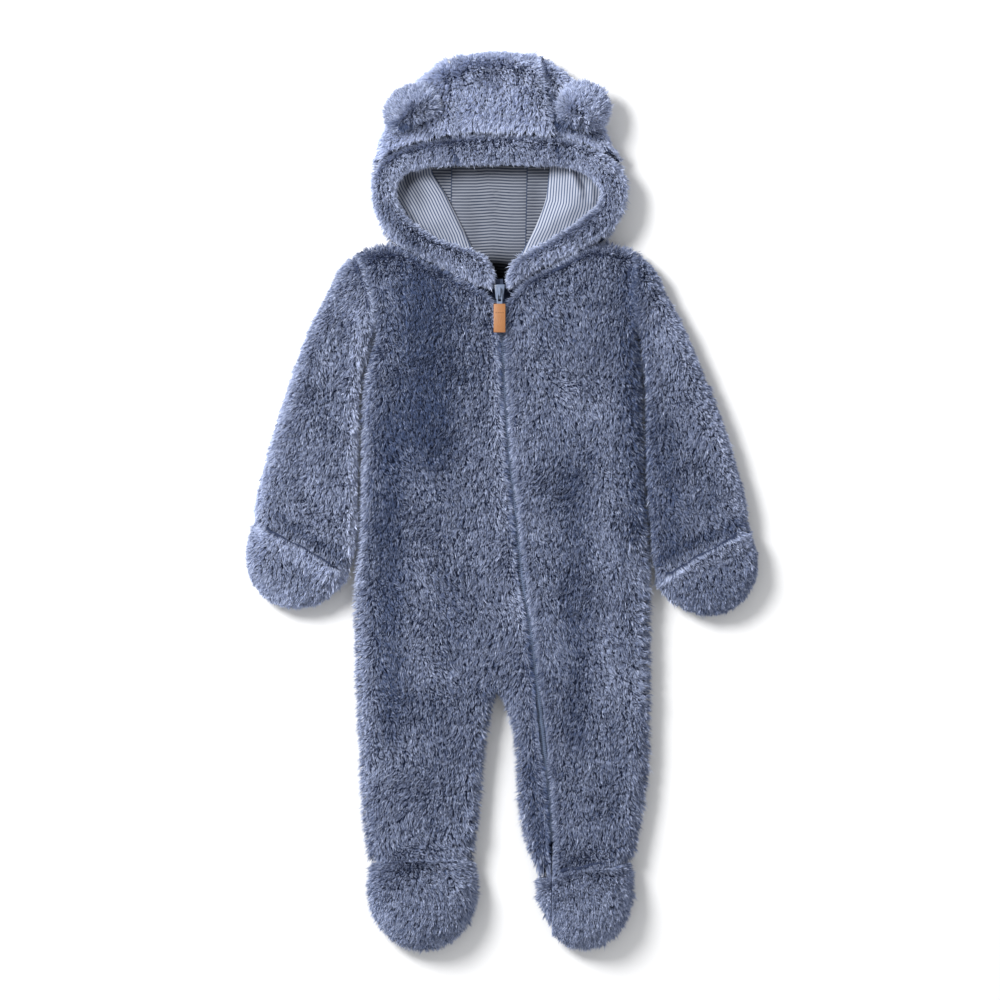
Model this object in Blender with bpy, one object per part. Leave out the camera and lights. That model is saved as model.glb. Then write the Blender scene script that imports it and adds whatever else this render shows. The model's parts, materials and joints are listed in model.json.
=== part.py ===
"""A baby's hooded pile-cloth pramsuit, zipped up and laid flat on its back.

Metres, +Z up. +Y runs from the feet to the hood, +X is the wearer's left, and the origin is on the
floor under the middle of the outline. Sizes below are in millimetres and are turned into metres last.

Each piece of cloth is an open surface given a wall: the outline of a piece is filled with triangles, a
height is worked out at each point from its distance to the garment's folded edge, and the wall goes
inwards along the normals. The outer face lies at the tips of the pile.
"""

import math
from collections import namedtuple

import bmesh
import bpy
import numpy as np
from mathutils.geometry import delaunay_2d_cdt

MM = 0.001

# Cloth
PILE_WALL = 6.0          # knitted backing and pile together
LINING_WALL = 1.0        # striped jersey
GAP = 0.3                # between neighbouring pieces
HALF_GAP = GAP / 2
ON_EDGE = 0.4            # places this near a folded edge are on it

# Garment lying on the floor
EDGE_HEIGHT = 11.0       # height of the folded edge above the floor
EDGE_ROUND = 17.0        # width over which the top rounds down to that edge
UNDER_ROUND = 11.0       # the same, underneath
BODY_RISE = 16.0         # from the folded edge to the top of the body
FOOT_RISE = 12.0         # what the toes add
SLIT = 1.0               # between a sleeve and the body beside it

# Hood
HOOD_EDGE_HEIGHT = 13.0
HOOD_ROUND = 26.0
HOOD_RISE = 21.0
BRIM_LOW = 13.6
BRIM_HIGH = 30.5
BRIM_BULGE = 2.4         # exponent of the brim's rounded section
BRIM_GAP = 1.0           # between the brim and what it meets
BRIM_RINGS = 42
LINING_FLOOR = PILE_WALL + GAP

# Lining leaves: the sides of the lining, slumped over the lining of the back
LEAF_EDGE_HEIGHT = 9.2
LEAF_OUTER_HEIGHT = 13.0
LEAF_BULGE = 4.5
LEAF_ROUND = 4.0

# Ears
EAR_THICK = 13.0
EAR_ROUND = 15.0
EAR_RIM = 1.2
EAR_LEAST_HEIGHT = 21.0
EAR_GAP = 1.0

# Hand covers
MITT_HALF_WIDTH = 43.5
MITT_DEPTH = 49.0
CUFF_LIFT = 6.0          # how far the folded-over cuff stands above the sleeve
CUFF_ROLL = 11.0         # width of its rolled edge
MITT_PUFF = 2.5

# Zip
TAPE_WIDTH = 9.0
TAPE_THICK = 1.0
TAPE_CLEAR = 1.1         # between the tape and the cloth over it
TAPE_END = -276.0        # Y of its lower end
TAPE_NARROW = 2.8        # width of the tape above the slider
ZIP_HALF_GAP = 2.6       # from the middle of the zip to the edge of a front
SLIDER_HALF_GAP = 6.0
PARTING = 2.0            # how far the pile is parted beside the zip
PARTING_WIDTH = 7.0
TAB_PRESS = 1.4          # how far the leather tab presses the pile down
SLIDER_TOP = 171.5       # Y of the slider's upper end
SLIDER_LENGTH = 12.0
SLIDER_WIDTH = 8.6
SLIDER_NECK = 6.0
SLIDER_HEIGHT = 4.2
SLIDER_CHAMFER = 0.8
BRIDGE_LENGTH = 7.0
BRIDGE_WIDTH = 1.6
BRIDGE_HEIGHT = 2.9
BRIDGE_THICK = 0.9
PULLER_WIDTH = 4.6
PULLER_LENGTH = 13.0
PULLER_THICK = 1.2
PULLER_RAIL = 1.0        # width of the metal on each side of the puller's eye
PULLER_EYE = 6.0         # length of that eye
PULL_TILT = 6.0          # degrees that the pull rises, lying on the pile
TAB_WIDTH = 9.5
TAB_LENGTH = 23.0
TAB_THICK = 3.2
TAB_GRIP = 5.0           # length of the puller that the leather holds

# Grain of the triangles
EDGE_STEP = 9.0
GRID = 16.0
TOP_ANGLES = (26.0, 54.0, 90.0)
UNDER_ANGLES = (38.0, 90.0)

Section = namedtuple("Section", "y right left")
Across = namedtuple("Across", "outer_x outer_y inner_x inner_y")
Fold = namedtuple("Fold", "x0 y0 x1 y1 width rise")
Place = namedtuple("Place", "x y")

# Outside edges of the body and legs, from the underarm to the ankle.
BODY = (
    Section(131, -99.5, 110.0),
    Section(108, -105.6, 112.0),
    Section(90, -109.2, 113.5),
    Section(64, -110.4, 113.8),
    Section(16, -111.2, 114.6),
    Section(-33, -112.8, 118.4),
    Section(-59, -115.0, 120.0),
    Section(-98, -116.0, 119.4),
    Section(-161, -114.4, 120.0),
    Section(-197, -112.8, 119.2),
    Section(-233, -111.2, 116.2),
    Section(-262, -108.6, 110.8),
    Section(-288, -104.8, 106.0),
)

# Inside edges of the two legs, from the crotch to the ankle.
CROTCH = Place(-1.5, -154.0)
INSEAM = (
    Section(-164, -6.5, 4.0),
    Section(-176, -8.6, 8.6),
    Section(-197, -11.6, 12.0),
    Section(-222, -14.6, 13.4),
    Section(-247, -16.4, 14.4),
    Section(-270, -19.2, 19.6),
    Section(-286, -21.8, 25.0),
)

# Sleeves, from the armhole to the wrist: their outer edges. The inner edges follow the body.
SLEEVE_OUTER_RIGHT = (
    Place(-114.4, 198.4), Place(-127.2, 187.2), Place(-140.0, 163.2), Place(-152.0, 139.2),
    Place(-161.6, 115.2), Place(-177.6, 67.2), Place(-191.2, 19.2), Place(-196.6, -6.0),
)
SLEEVE_OUTER_LEFT = (
    Place(109.6, 198.4), Place(122.4, 187.2), Place(134.4, 163.2), Place(147.2, 139.2),
    Place(157.6, 115.2), Place(176.8, 67.2), Place(192.0, 19.2), Place(197.8, -6.0),
)
ARMHOLE_RIGHT = (Place(-114.4, 198.4), Place(-105.5, 176.0), Place(-100.2, 154.0), Place(-99.5, 131.0))
ARMHOLE_LEFT = (Place(109.6, 198.4), Place(107.2, 178.0), Place(107.4, 156.0), Place(110.0, 131.0))

Ear = namedtuple("Ear", "x y half_width half_height tilt base")
EAR_RIGHT = Ear(-70.5, 310.5, 22.5, 19.0, 28.0, -12.5)
EAR_LEFT = Ear(66.6, 312.0, 21.5, 20.8, -8.0, -16.5)

Mitt = namedtuple("Mitt", "x y tilt")
MITT_RIGHT = Mitt(-158.8, -40.0, -28.3)
MITT_LEFT = Mitt(161.6, -45.6, 29.7)

# Feet: ovals that the ankle seam cuts off.
Foot = namedtuple("Foot", "x y half_width half_length ankle_outer ankle_inner")
FOOT_RIGHT = Foot(-61.5, -308.0, 44.0, 51.2, -288.0, -286.0)
FOOT_LEFT = Foot(67.8, -308.0, 38.5, 50.6, -288.0, -300.0)

# Outside edge of the hood, crown to neck.
HOOD = (
    Section(355.0, -35.0, 31.0),
    Section(343.0, -57.5, 51.0),
    Section(331.0, -71.0, 64.0),
    Section(319.0, -81.0, 73.5),
    Section(305.0, -89.0, 80.5),
    Section(293.0, -94.5, 86.0),
    Section(283.0, -98.5, 90.5),
    Section(259.0, -102.6, 100.5),
    Section(247.0, -103.2, 102.5),
    Section(235.0, -102.2, 101.0),
    Section(222.0, -97.6, 95.4),
    Section(209.0, -89.5, 85.5),
)
HOOD_TOP = Place(-2.0, 359.2)
HOOD_SEAM_RIGHT = (Place(-35.5, 330.0), Place(-33.4, 305.0), Place(-34.6, 292.6))
HOOD_SEAM_LEFT = (Place(35.5, 330.0), Place(41.5, 305.0), Place(45.0, 291.6))
HOOD_SEAM_TOPS = {"right": 352.6, "left": 354.6}    # Y where each seam crosses the crown's edge
BACK_SEAM = {"right": -39.2, "left": 21.0}           # X of the same seams down the back
CREASE_ENDS = {"right": 272.0, "left": 271.0}        # Y where the brim's crease meets the edge

# The brim, round the face opening from one side of the zip to the other.
BRIM = (
    Across(-9.5, 164.5, -3.4, 179.0),
    Across(-24.0, 172.5, -7.6, 192.0),
    Across(-41.0, 181.6, -25.0, 201.2),
    Across(-62.0, 191.8, -48.0, 208.4),
    Across(-82.5, 203.2, -64.8, 218.4),
    Across(-97.6, 222.0, -77.2, 231.0),
    Across(-103.2, 247.0, -81.6, 245.6),
    Across(-98.5, 267.0, -76.4, 257.4),
    Across(-80.0, 281.0, -60.0, 263.2),
    Across(-42.0, 290.5, -38.0, 265.2),
    Across(-1.0, 292.0, -1.0, 265.6),
    Across(44.0, 290.0, 40.0, 265.2),
    Across(76.0, 280.5, 58.0, 262.6),
    Across(95.0, 267.5, 70.5, 256.2),
    Across(102.5, 247.0, 79.4, 245.4),
    Across(95.4, 222.0, 75.0, 233.4),
    Across(83.0, 209.0, 59.2, 221.6),
    Across(59.5, 196.0, 44.8, 211.6),
    Across(40.0, 186.5, 27.0, 202.0),
    Across(22.0, 177.0, 9.6, 191.0),
    Across(9.5, 164.5, 4.6, 179.0),
)
NECK_CORNER_RIGHT = Place(-90.5, 205.4)
NECK_CORNER_LEFT = Place(87.0, 206.0)
BACK_NECK_DEPTH = 8.0
LINING_INSET = 14.0      # from the hood's edge to the edge of its flat back lining
LINING_TOP = 334.0       # Y between which that edge follows the hood's
LINING_BOTTOM = 212.0

# Lower edge of the back lining, which runs down into the neck.
LINING_FOOT = (Place(-70.0, 206.5), Place(-40.0, 198.0), Place(-16.0, 181.0), Place(0.0, 176.0),
               Place(16.0, 181.0), Place(40.0, 198.0), Place(66.0, 207.0))

# Free edges of the two side linings, which have slumped over the lining of the back.
LEAF_RIGHT = (Place(-56.0, 272.0), Place(-54.0, 261.0), Place(-44.5, 246.0), Place(-36.0, 229.5),
              Place(-28.6, 215.0), Place(-21.5, 200.0))
LEAF_LEFT = (Place(40.0, 272.0), Place(38.6, 258.0), Place(36.6, 240.0), Place(28.8, 219.5),
             Place(20.6, 203.0), Place(14.0, 193.0))

# Middle line of the zip, from its top stop to the ankle.
ZIP = (
    Place(-0.4, 176.0), Place(-0.2, 160.0), Place(1.6, 130.0), Place(4.0, 80.0), Place(7.0, 36.0),
    Place(13.0, -16.0), Place(17.6, -64.0), Place(24.4, -104.0), Place(29.8, -150.0),
    Place(34.6, -195.0), Place(39.6, -240.0), Place(41.2, -275.0), Place(40.0, -291.0),
)

# Soft troughs (rise below zero) and ridges, each along a straight run.
FOLDS = (
    Fold(-72, 30, -66, -20, 16, -4.5),
    Fold(-86, -40, -84, -150, 9, -3.5),
    Fold(-42, -70, -40, -150, 10, -3.0),
    Fold(-20, 140, -34, 60, 14, -2.0),
    Fold(-60, 130, -40, 60, 18, 1.8),
    Fold(-60, -20, -62, -120, 14, 2.2),
    Fold(62, -6, 63, -158, 8, -4.0),
    Fold(108, -40, 107, -150, 8, -2.5),
    Fold(86, 10, 88, -150, 12, 2.4),
    Fold(58, 110, 64, 30, 16, -2.5),
    Fold(96, 150, 100, 60, 8, 2.2),
    Fold(-92, 160, -98, 90, 7, 2.2),
    Fold(0, -146, -4, -112, 5, -4.5),
    Fold(-14, -148, -30, -122, 5, -3.0),
    Fold(12, -150, 16, -118, 4, -2.5),
    Fold(-70, -200, -96, -225, 8, -2.5),
    Fold(-36, -190, -30, -250, 9, -2.5),
    Fold(90, -190, 78, -240, 9, -2.5),
    Fold(64, -215, 72, -262, 8, 2.0),
    Fold(-104, -270, -24, -276, 5, -2.0),
    Fold(46, -272, 104, -270, 5, -2.0),
    Fold(-122, 150, -128, 60, 8, -3.0),
    Fold(-150, 110, -158, 30, 10, 2.0),
    Fold(-134, 40, -170, 10, 9, -2.6),
    Fold(-128, -10, -176, 20, 7, -2.0),
    Fold(126, 140, 134, 60, 8, -3.0),
    Fold(161, 20, 160, -26, 6, -3.0),
    Fold(150, 90, 168, 30, 10, 2.0),
    Fold(132, 0, 150, -34, 7, -2.0),
    Fold(-194, -14, -122, -52, 6, -4.0),
    Fold(128, -58, 195, -19, 6, -4.0),
)
HOOD_FOLDS = (
    Fold(-40, 352, -33, 300, 5, -3.0),
    Fold(31, 352, 45, 295, 5, -3.0),
    Fold(-34, 294, 46, 293, 4, -4.5),
    Fold(-34, 294, -84, 282, 4, -3.0),
    Fold(46, 293, 84, 282, 4, -3.0),
    Fold(0, 345, 4, 305, 16, 2.0),
    Fold(-62, 326, -56, 300, 9, -1.6),
    Fold(60, 318, 62, 298, 8, -1.6),
)

COLOURS = {
    "pile": (0.13, 0.17, 0.27, 1.0),
    "lining": (0.42, 0.47, 0.56, 1.0),
    "tape": (0.10, 0.13, 0.22, 1.0),
    "metal": (0.22, 0.27, 0.38, 1.0),
    "leather": (0.50, 0.22, 0.07, 1.0),
}
ROUGHNESS = {"pile": 0.95, "lining": 0.9, "tape": 0.8, "metal": 0.45, "leather": 0.6}


# ---------------------------------------------------------------- curves in the plane

def smooth_line(places, step=EDGE_STEP):
    """A smooth curve through the places, as points about one step apart."""
    knots = np.array([(place[0], place[1]) for place in places], float)
    before = 2 * knots[0] - knots[1]
    after = 2 * knots[-1] - knots[-2]
    ring = np.vstack([before, knots, after])
    dense = []
    for i in range(len(knots) - 1):
        p0, p1, p2, p3 = ring[i:i + 4]
        for t in np.linspace(0, 1, 24, endpoint=False):
            dense.append(0.5 * (2 * p1 + (p2 - p0) * t + (2 * p0 - 5 * p1 + 4 * p2 - p3) * t ** 2
                                + (3 * p1 - p0 - 3 * p2 + p3) * t ** 3))
    dense = np.array(dense + [knots[-1]])
    return even(dense, step)


def even(line, step=EDGE_STEP):
    """The same line with its points spread evenly, about one step apart."""
    along = np.concatenate([[0], np.cumsum(np.linalg.norm(np.diff(line, axis=0), axis=1))])
    wanted = np.linspace(0, along[-1], max(2, round(along[-1] / step) + 1))
    return np.column_stack([np.interp(wanted, along, line[:, 0]), np.interp(wanted, along, line[:, 1])])


def side(sections, column):
    """One edge of a table of sections, as places from the first row to the last."""
    return [Place(getattr(section, column), section.y) for section in sections]


def shifted(line, distance):
    """The line moved to its left by a distance, or to its right where that is below zero."""
    along = np.gradient(line, axis=0)
    along /= np.linalg.norm(along, axis=1, keepdims=True)
    return line + distance * np.column_stack([-along[:, 1], along[:, 0]])


def joined(*lines):
    """Lines end to end as one closed outline, with doubled corner points dropped."""
    points = np.vstack(lines)
    keep = np.linalg.norm(points - np.roll(points, 1, axis=0), axis=1) > 0.6
    return points[keep]


def stretch(line, high, low):
    """The part of a line between two values of Y, as even points."""
    order = np.argsort(line[:, 1])
    dense = np.linspace(high, low, 60)
    x = np.interp(dense, line[order, 1], line[order, 0])
    return even(np.column_stack([x, dense]))


def distance_to(points, lines):
    """Distance from each point to the nearest of the lines, and the nearest point there."""
    best = np.full(len(points), np.inf)
    nearest = np.zeros((len(points), 2))
    for line in lines:
        for start, end in zip(line[:-1], line[1:]):
            run = end - start
            t = np.clip((points - start) @ run / max(run @ run, 1e-9), 0, 1)
            foot = start + t[:, None] * run
            gap = np.linalg.norm(points - foot, axis=1)
            closer = gap < best
            best[closer] = gap[closer]
            nearest[closer] = foot[closer]
    return best, nearest


def inside(points, outline):
    """Which points lie within a closed outline."""
    x, y = points[:, 0], points[:, 1]
    hit = np.zeros(len(points), bool)
    for (x0, y0), (x1, y1) in zip(outline, np.roll(outline, -1, axis=0)):
        crosses = (y0 > y) != (y1 > y)
        with np.errstate(divide="ignore", invalid="ignore"):
            hit ^= crosses & (x < (x1 - x0) * (y - y0) / (y1 - y0) + x0)
    return hit


# ---------------------------------------------------------------- the garment's lines

def zip_line(offset=0.0):
    """The zip's middle line, or a line beside it: above zero towards the wearer's left."""
    line = smooth_line(ZIP)
    if not offset:
        return line
    wide = 1 / (1 + np.exp(-(line[:, 1] - (SLIDER_TOP - SLIDER_LENGTH - 6)) / 2.5))
    amount = ZIP_HALF_GAP + (SLIDER_HALF_GAP - ZIP_HALF_GAP) * wide
    along = np.gradient(line, axis=0)
    along /= np.linalg.norm(along, axis=1, keepdims=True)
    towards_left = np.column_stack([-along[:, 1], along[:, 0]])
    return line + math.copysign(1, offset) * amount[:, None] * towards_left


def mitt_curve(mitt, start=180.0, end=0.0, width=MITT_HALF_WIDTH, depth=MITT_DEPTH):
    """An arc of a hand cover's oval, in degrees round from its end on the wearer's left."""
    angles = np.radians(np.linspace(start, end, 60))
    tilt = math.radians(mitt.tilt)
    u, v = width * np.cos(angles), -depth * np.sin(angles)
    return np.column_stack([mitt.x + u * math.cos(tilt) - v * math.sin(tilt),
                            mitt.y + u * math.sin(tilt) + v * math.cos(tilt)])


def foot_curve(foot):
    """The oval of a foot from its outer ankle round the toes to its inner ankle."""
    outward = -1 if foot.x < 0 else 1
    first = math.asin((foot.y - foot.ankle_outer) / foot.half_length)
    last = math.pi - math.asin((foot.y - foot.ankle_inner) / foot.half_length)
    sweep = np.linspace(first, last, 60)
    return np.column_stack([foot.x + outward * foot.half_width * np.cos(sweep),
                            foot.y - foot.half_length * np.sin(sweep)])


def build_lines():
    """Every folded edge and seam of the garment, by name."""
    lines = {}
    feet = {"right": FOOT_RIGHT, "left": FOOT_LEFT}
    mitts = {"right": MITT_RIGHT, "left": MITT_LEFT}
    outers = {"right": SLEEVE_OUTER_RIGHT, "left": SLEEVE_OUTER_LEFT}
    armholes = {"right": ARMHOLE_RIGHT, "left": ARMHOLE_LEFT}
    corners = {"right": NECK_CORNER_RIGHT, "left": NECK_CORNER_LEFT}
    for which in ("right", "left"):
        outward = -1 if which == "right" else 1
        foot = even(foot_curve(feet[which]))
        lines["foot_" + which] = foot
        lines["side_" + which] = smooth_line(side(BODY, which) + [Place(*foot[0])])
        lines["inseam_" + which] = smooth_line([CROTCH] + side(INSEAM, which) + [Place(*foot[-1])])
        lines["armhole_" + which] = smooth_line(armholes[which])
        lines["shoulder_" + which] = smooth_line([corners[which], armholes[which][0]])
        mitt = even(mitt_curve(mitts[which], 180 if outward < 0 else 0, 0 if outward < 0 else 180))
        lines["mitt_" + which] = mitt
        lines["sleeve_" + which] = smooth_line(list(outers[which]) + [Place(*mitt[0])])
        beside = [Place(p.x + outward * (SLIT if i else GAP), p.y)
                  for i, p in enumerate(side(BODY[:6], which))]
        lines["underarm_" + which] = smooth_line(beside + [Place(*mitt[-1])])
        tilt = math.radians(mitts[which].tilt)
        bow = Place(mitts[which].x - 3 * math.sin(tilt), mitts[which].y + 3 * math.cos(tilt))
        lines["cuff_" + which] = smooth_line([Place(*mitt[-1]), bow, Place(*mitt[0])])
        lines["ankle_" + which] = even(np.array([foot[0], foot[-1]]))
        lines["hood_" + which] = smooth_line([HOOD_TOP] + side(HOOD, which) + [corners[which]])
    lines["back_neck"] = smooth_line([
        NECK_CORNER_RIGHT, Place(-45, NECK_CORNER_RIGHT.y - BACK_NECK_DEPTH),
        Place(45, NECK_CORNER_LEFT.y - BACK_NECK_DEPTH), NECK_CORNER_LEFT])
    return lines


LINES = build_lines()
FOLDED_EDGES = [LINES[name + which] for which in ("right", "left") for name in
                ("foot_", "side_", "inseam_", "shoulder_", "mitt_", "sleeve_", "underarm_")]
HOOD_EDGES = [LINES["hood_right"], LINES["hood_left"]]


# ---------------------------------------------------------------- heights

def fold_height(points, folds):
    """What the soft troughs and ridges add at each point."""
    total = np.zeros(len(points))
    for fold in folds:
        start = np.array([fold.x0, fold.y0], float)
        run = np.array([fold.x1, fold.y1], float) - start
        length = np.linalg.norm(run)
        t = (points - start) @ run / length ** 2
        beyond = np.clip(np.abs(t - 0.5) - 0.5, 0, None) * length
        aside = (points - start) @ np.array([-run[1], run[0]]) / length
        bend = aside + 0.12 * fold.width * np.sin(math.pi * 2 * t)
        total += fold.rise * np.exp(-(bend / fold.width) ** 2 - (beyond / fold.width) ** 2)
    return total


def foot_height(points):
    """What the toes add over the two feet."""
    total = np.zeros(len(points))
    for foot in (FOOT_RIGHT, FOOT_LEFT):
        u = (points[:, 0] - foot.x) / foot.half_width
        v = (points[:, 1] - foot.y + 8) / (foot.half_length * 0.8)
        total += FOOT_RISE * np.clip(1 - u ** 2 - v ** 2, 0, 1) ** 0.7
    return total


def body_relief(points):
    """What the table of folds adds to the body and sleeves."""
    return fold_height(points, FOLDS) + foot_height(points)


def hood_relief(points):
    """What the table of folds adds to the hood."""
    return fold_height(points, HOOD_FOLDS)


def parting(points):
    """How far the pile lies lower beside the zip and under its leather tab."""
    away, _ = distance_to(points, [zip_line()])
    low = SLIDER_TOP - SLIDER_LENGTH - TAB_LENGTH
    beside = np.clip(np.abs(points[:, 1] - (low + SLIDER_TOP) / 2) - (SLIDER_TOP - low) / 2, 0, None)
    under_tab = np.exp(-(beside / 6) ** 2 - (away / TAB_WIDTH) ** 4)
    return PARTING * np.exp(-(away / PARTING_WIDTH) ** 2) + TAB_PRESS * under_tab


def front_relief(points):
    """The folds of the fronts, with the pile parted beside the zip and pressed under its tab."""
    return body_relief(points) - parting(points)


def mitt_relief(points):
    """The rolled edge of each folded-over cuff, and the puff of the hand below it."""
    away, _ = distance_to(points, [LINES["cuff_right"], LINES["cuff_left"]])
    roll = CUFF_LIFT * np.exp(-(np.clip(away - CUFF_ROLL / 2, 0, None) / (CUFF_ROLL / 2)) ** 2)
    puff = MITT_PUFF * np.exp(-((away - 26) / 12) ** 2)
    return roll + puff


Form = namedtuple("Form", "edges height rounding rise relief")
TOP = Form(FOLDED_EDGES, EDGE_HEIGHT, EDGE_ROUND, BODY_RISE, body_relief)
FRONT_TOP = TOP._replace(relief=front_relief)
MITT_TOP = TOP._replace(relief=mitt_relief)
HOOD_FORM = Form(HOOD_EDGES, HOOD_EDGE_HEIGHT, HOOD_ROUND, HOOD_RISE, hood_relief)


def surface(points, form, outline=None, upper=True, edge_lift=0.0):
    """Points in space over places in the plane, and the outward normals there."""
    rounding = form.rounding if upper else UNDER_ROUND
    away, nearest = distance_to(points, form.edges)
    away[away < ON_EDGE] = 0
    outward = nearest - points
    length = np.linalg.norm(outward, axis=1, keepdims=True)
    outward = outward / np.maximum(length, 1e-9)
    cosine = np.clip(1 - away / rounding, 0, 1)
    sine = np.sqrt(1 - cosine ** 2)
    if upper:
        step = 0.5
        relief = form.relief(points)
        slope_x = (form.relief(points + (step, 0)) - form.relief(points - (step, 0))) / (2 * step)
        slope_y = (form.relief(points + (0, step)) - form.relief(points - (0, step))) / (2 * step)
        rise = form.rise + relief
        z = form.height + edge_lift + rise * sine
        flat = outward * (rise * cosine)[:, None]
        flat -= np.column_stack([slope_x, slope_y]) * (rounding * sine ** 2)[:, None]
        normals = np.column_stack([flat, rounding * sine])
    else:
        rise = form.height + edge_lift
        z = rise * (1 - sine)
        normals = np.column_stack([outward * (rise * cosine)[:, None], -rounding * sine])
    if outline is not None:
        square_up_rims(points, normals, outline, away)
    normals /= np.maximum(np.linalg.norm(normals, axis=1, keepdims=True), 1e-9)
    return np.column_stack([points, z]), normals


def square_up_rims(points, normals, outline, away):
    """Normals along an anticlockwise outline: level on a folded edge, and in the seam's own upright
    plane along a seam, so that the cut edge of the wall stands upright there."""
    ahead = np.roll(outline, -1, axis=0) - outline
    ahead /= np.linalg.norm(ahead, axis=1, keepdims=True)
    on_fold = np.zeros(len(outline), bool)
    for i, point in enumerate(outline):
        gap = np.linalg.norm(points - point, axis=1)
        on_fold[i] = away[int(gap.argmin())] == 0
    for i, point in enumerate(outline):
        k = int(np.linalg.norm(points - point, axis=1).argmin())
        before, after = ahead[i - 1], ahead[i]
        fold_before = on_fold[i] and on_fold[i - 1]
        fold_after = on_fold[i] and on_fold[(i + 1) % len(outline)]
        middle = before + after
        middle /= max(np.linalg.norm(middle), 1e-9)
        if fold_before and fold_after:
            normals[k] = (middle[1], -middle[0], 0)
        elif on_fold[i] and fold_before:
            normals[k] = (-after[0], -after[1], 0)
        elif on_fold[i]:
            normals[k] = (before[0], before[1], 0)
        elif before @ after < 0.9:
            normals[k] = (0, 0, math.copysign(1, normals[k][2]))
        else:
            across = np.array([middle[1], -middle[0], 0])
            normals[k] -= (normals[k] @ across) * across


# ---------------------------------------------------------------- meshes

def anticlockwise(outline):
    """The outline, turned round where it runs clockwise."""
    x, y = outline[:, 0], outline[:, 1]
    area = (x * np.roll(y, -1) - np.roll(x, -1) * y).sum()
    return outline if area > 0 else outline[::-1]


def filled(outline, form, upper=True, grid=GRID):
    """The outline filled with triangles: rings along the folded edges, and a grid inside them."""
    rounding = form.rounding if upper else UNDER_ROUND
    loose = []
    for angle in TOP_ANGLES if upper else UNDER_ANGLES:
        depth = rounding * (1 - math.cos(math.radians(angle)))
        for line in form.edges:
            for direction in (1, -1):
                ring = shifted(even(line, max(EDGE_STEP, depth)), direction * depth)
                away, _ = distance_to(ring, form.edges)
                loose.append(ring[away > 0.93 * depth])
    low, high = outline.min(axis=0), outline.max(axis=0)
    rows = []
    for i, y in enumerate(np.arange(low[1] + grid / 2, high[1], grid * 0.866)):
        x = np.arange(low[0] + (i % 2) * grid / 2, high[0], grid)
        rows.append(np.column_stack([x, np.full(len(x), y)]))
    if rows:
        inner = np.vstack(rows)
        away, _ = distance_to(inner, form.edges)
        loose.append(inner[away > rounding + 0.55 * grid])
    points = np.vstack(loose)
    points = points[inside(points, outline)]
    away, _ = distance_to(points, [np.vstack([outline, outline[:1]])])
    from_fold, _ = distance_to(points, form.edges)
    points = points[(away > 2.8) | (away > 0.9 * from_fold)]
    points = points[away[(away > 2.8) | (away > 0.9 * from_fold)] > 0.9]
    points = thinned(points)
    every = np.vstack([outline, points])
    count = len(outline)
    result = delaunay_2d_cdt([tuple(p) for p in every], [], [list(range(count))], 1, 1e-4)
    corners = np.array([tuple(v) for v in result[0]])
    return corners, [tuple(face) for face in result[2]]


def thinned(points, least=2.0):
    """The points without those that crowd an earlier one."""
    kept = []
    for point in points:
        if all(abs(point[0] - q[0]) + abs(point[1] - q[1]) > least for q in kept):
            kept.append(point)
    return np.array(kept).reshape(-1, 2)


def patch(outline, form=TOP, upper=True, grid=GRID, **lifts):
    """A filled outline as an open surface: points, normals and triangles facing outwards."""
    outline = anticlockwise(outline)
    flat, faces = filled(outline, form, upper, grid)
    points, normals = surface(flat, form, outline, upper, **lifts)
    if not upper:
        faces = [face[::-1] for face in faces]
    return points, normals, faces


def merged(*patches):
    """Open surfaces joined along the edge points that they share."""
    points, normals, faces, index = [], [], [], {}
    for some_points, some_normals, some_faces in patches:
        names = []
        for point, normal in zip(some_points, some_normals):
            key = tuple(np.round(point, 2))
            if key not in index:
                index[key] = len(points)
                points.append(point)
                normals.append(normal)
            names.append(index[key])
        faces += [tuple(names[i] for i in face) for face in some_faces]
    return np.array(points), np.array(normals), faces


def walled(open_surface, wall):
    """A closed wall from an open surface, going inwards from it. The wall may differ from point to point."""
    points, normals, faces = open_surface
    count = len(points)
    inner = points - normals * np.broadcast_to(wall, count)[:, None]
    edges = {}
    for face in faces:
        for a, b in zip(face, face[1:] + face[:1]):
            edges[(a, b)] = edges.get((a, b), 0) + 1
    rim = [(a, b) for (a, b) in edges if (b, a) not in edges]
    body = list(faces) + [tuple(i + count for i in face[::-1]) for face in faces]
    body += [(b, a, a + count) for a, b in rim] + [(b, a + count, b + count) for a, b in rim]
    return np.vstack([points, inner]), body


def material(kind):
    """The material of one kind of cloth or fitting, made the first time it is asked for."""
    found = bpy.data.materials.get(kind)
    if found:
        return found
    made = bpy.data.materials.new(kind)
    made.use_nodes = True
    shader = made.node_tree.nodes["Principled BSDF"]
    shader.inputs["Base Color"].default_value = COLOURS[kind]
    shader.inputs["Roughness"].default_value = ROUGHNESS[kind]
    shader.inputs["Metallic"].default_value = 0.6 if kind == "metal" else 0.0
    return made


def add_object(name, kind, points, faces, origin=(0.0, 0.0, 0.0)):
    """One closed piece as an object, with its origin where it is asked for, in millimetres."""
    mesh = bpy.data.meshes.new(name)
    mesh.from_pydata([tuple((p - np.array(origin)) * MM) for p in points], [], faces)
    mesh.materials.append(material(kind))
    mesh.shade_smooth()
    mesh.set_sharp_from_angle(angle=math.radians(40))
    piece = bpy.data.objects.new(name, mesh)
    piece.location = [value * MM for value in origin]
    bpy.context.scene.collection.objects.link(piece)
    return piece


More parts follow.
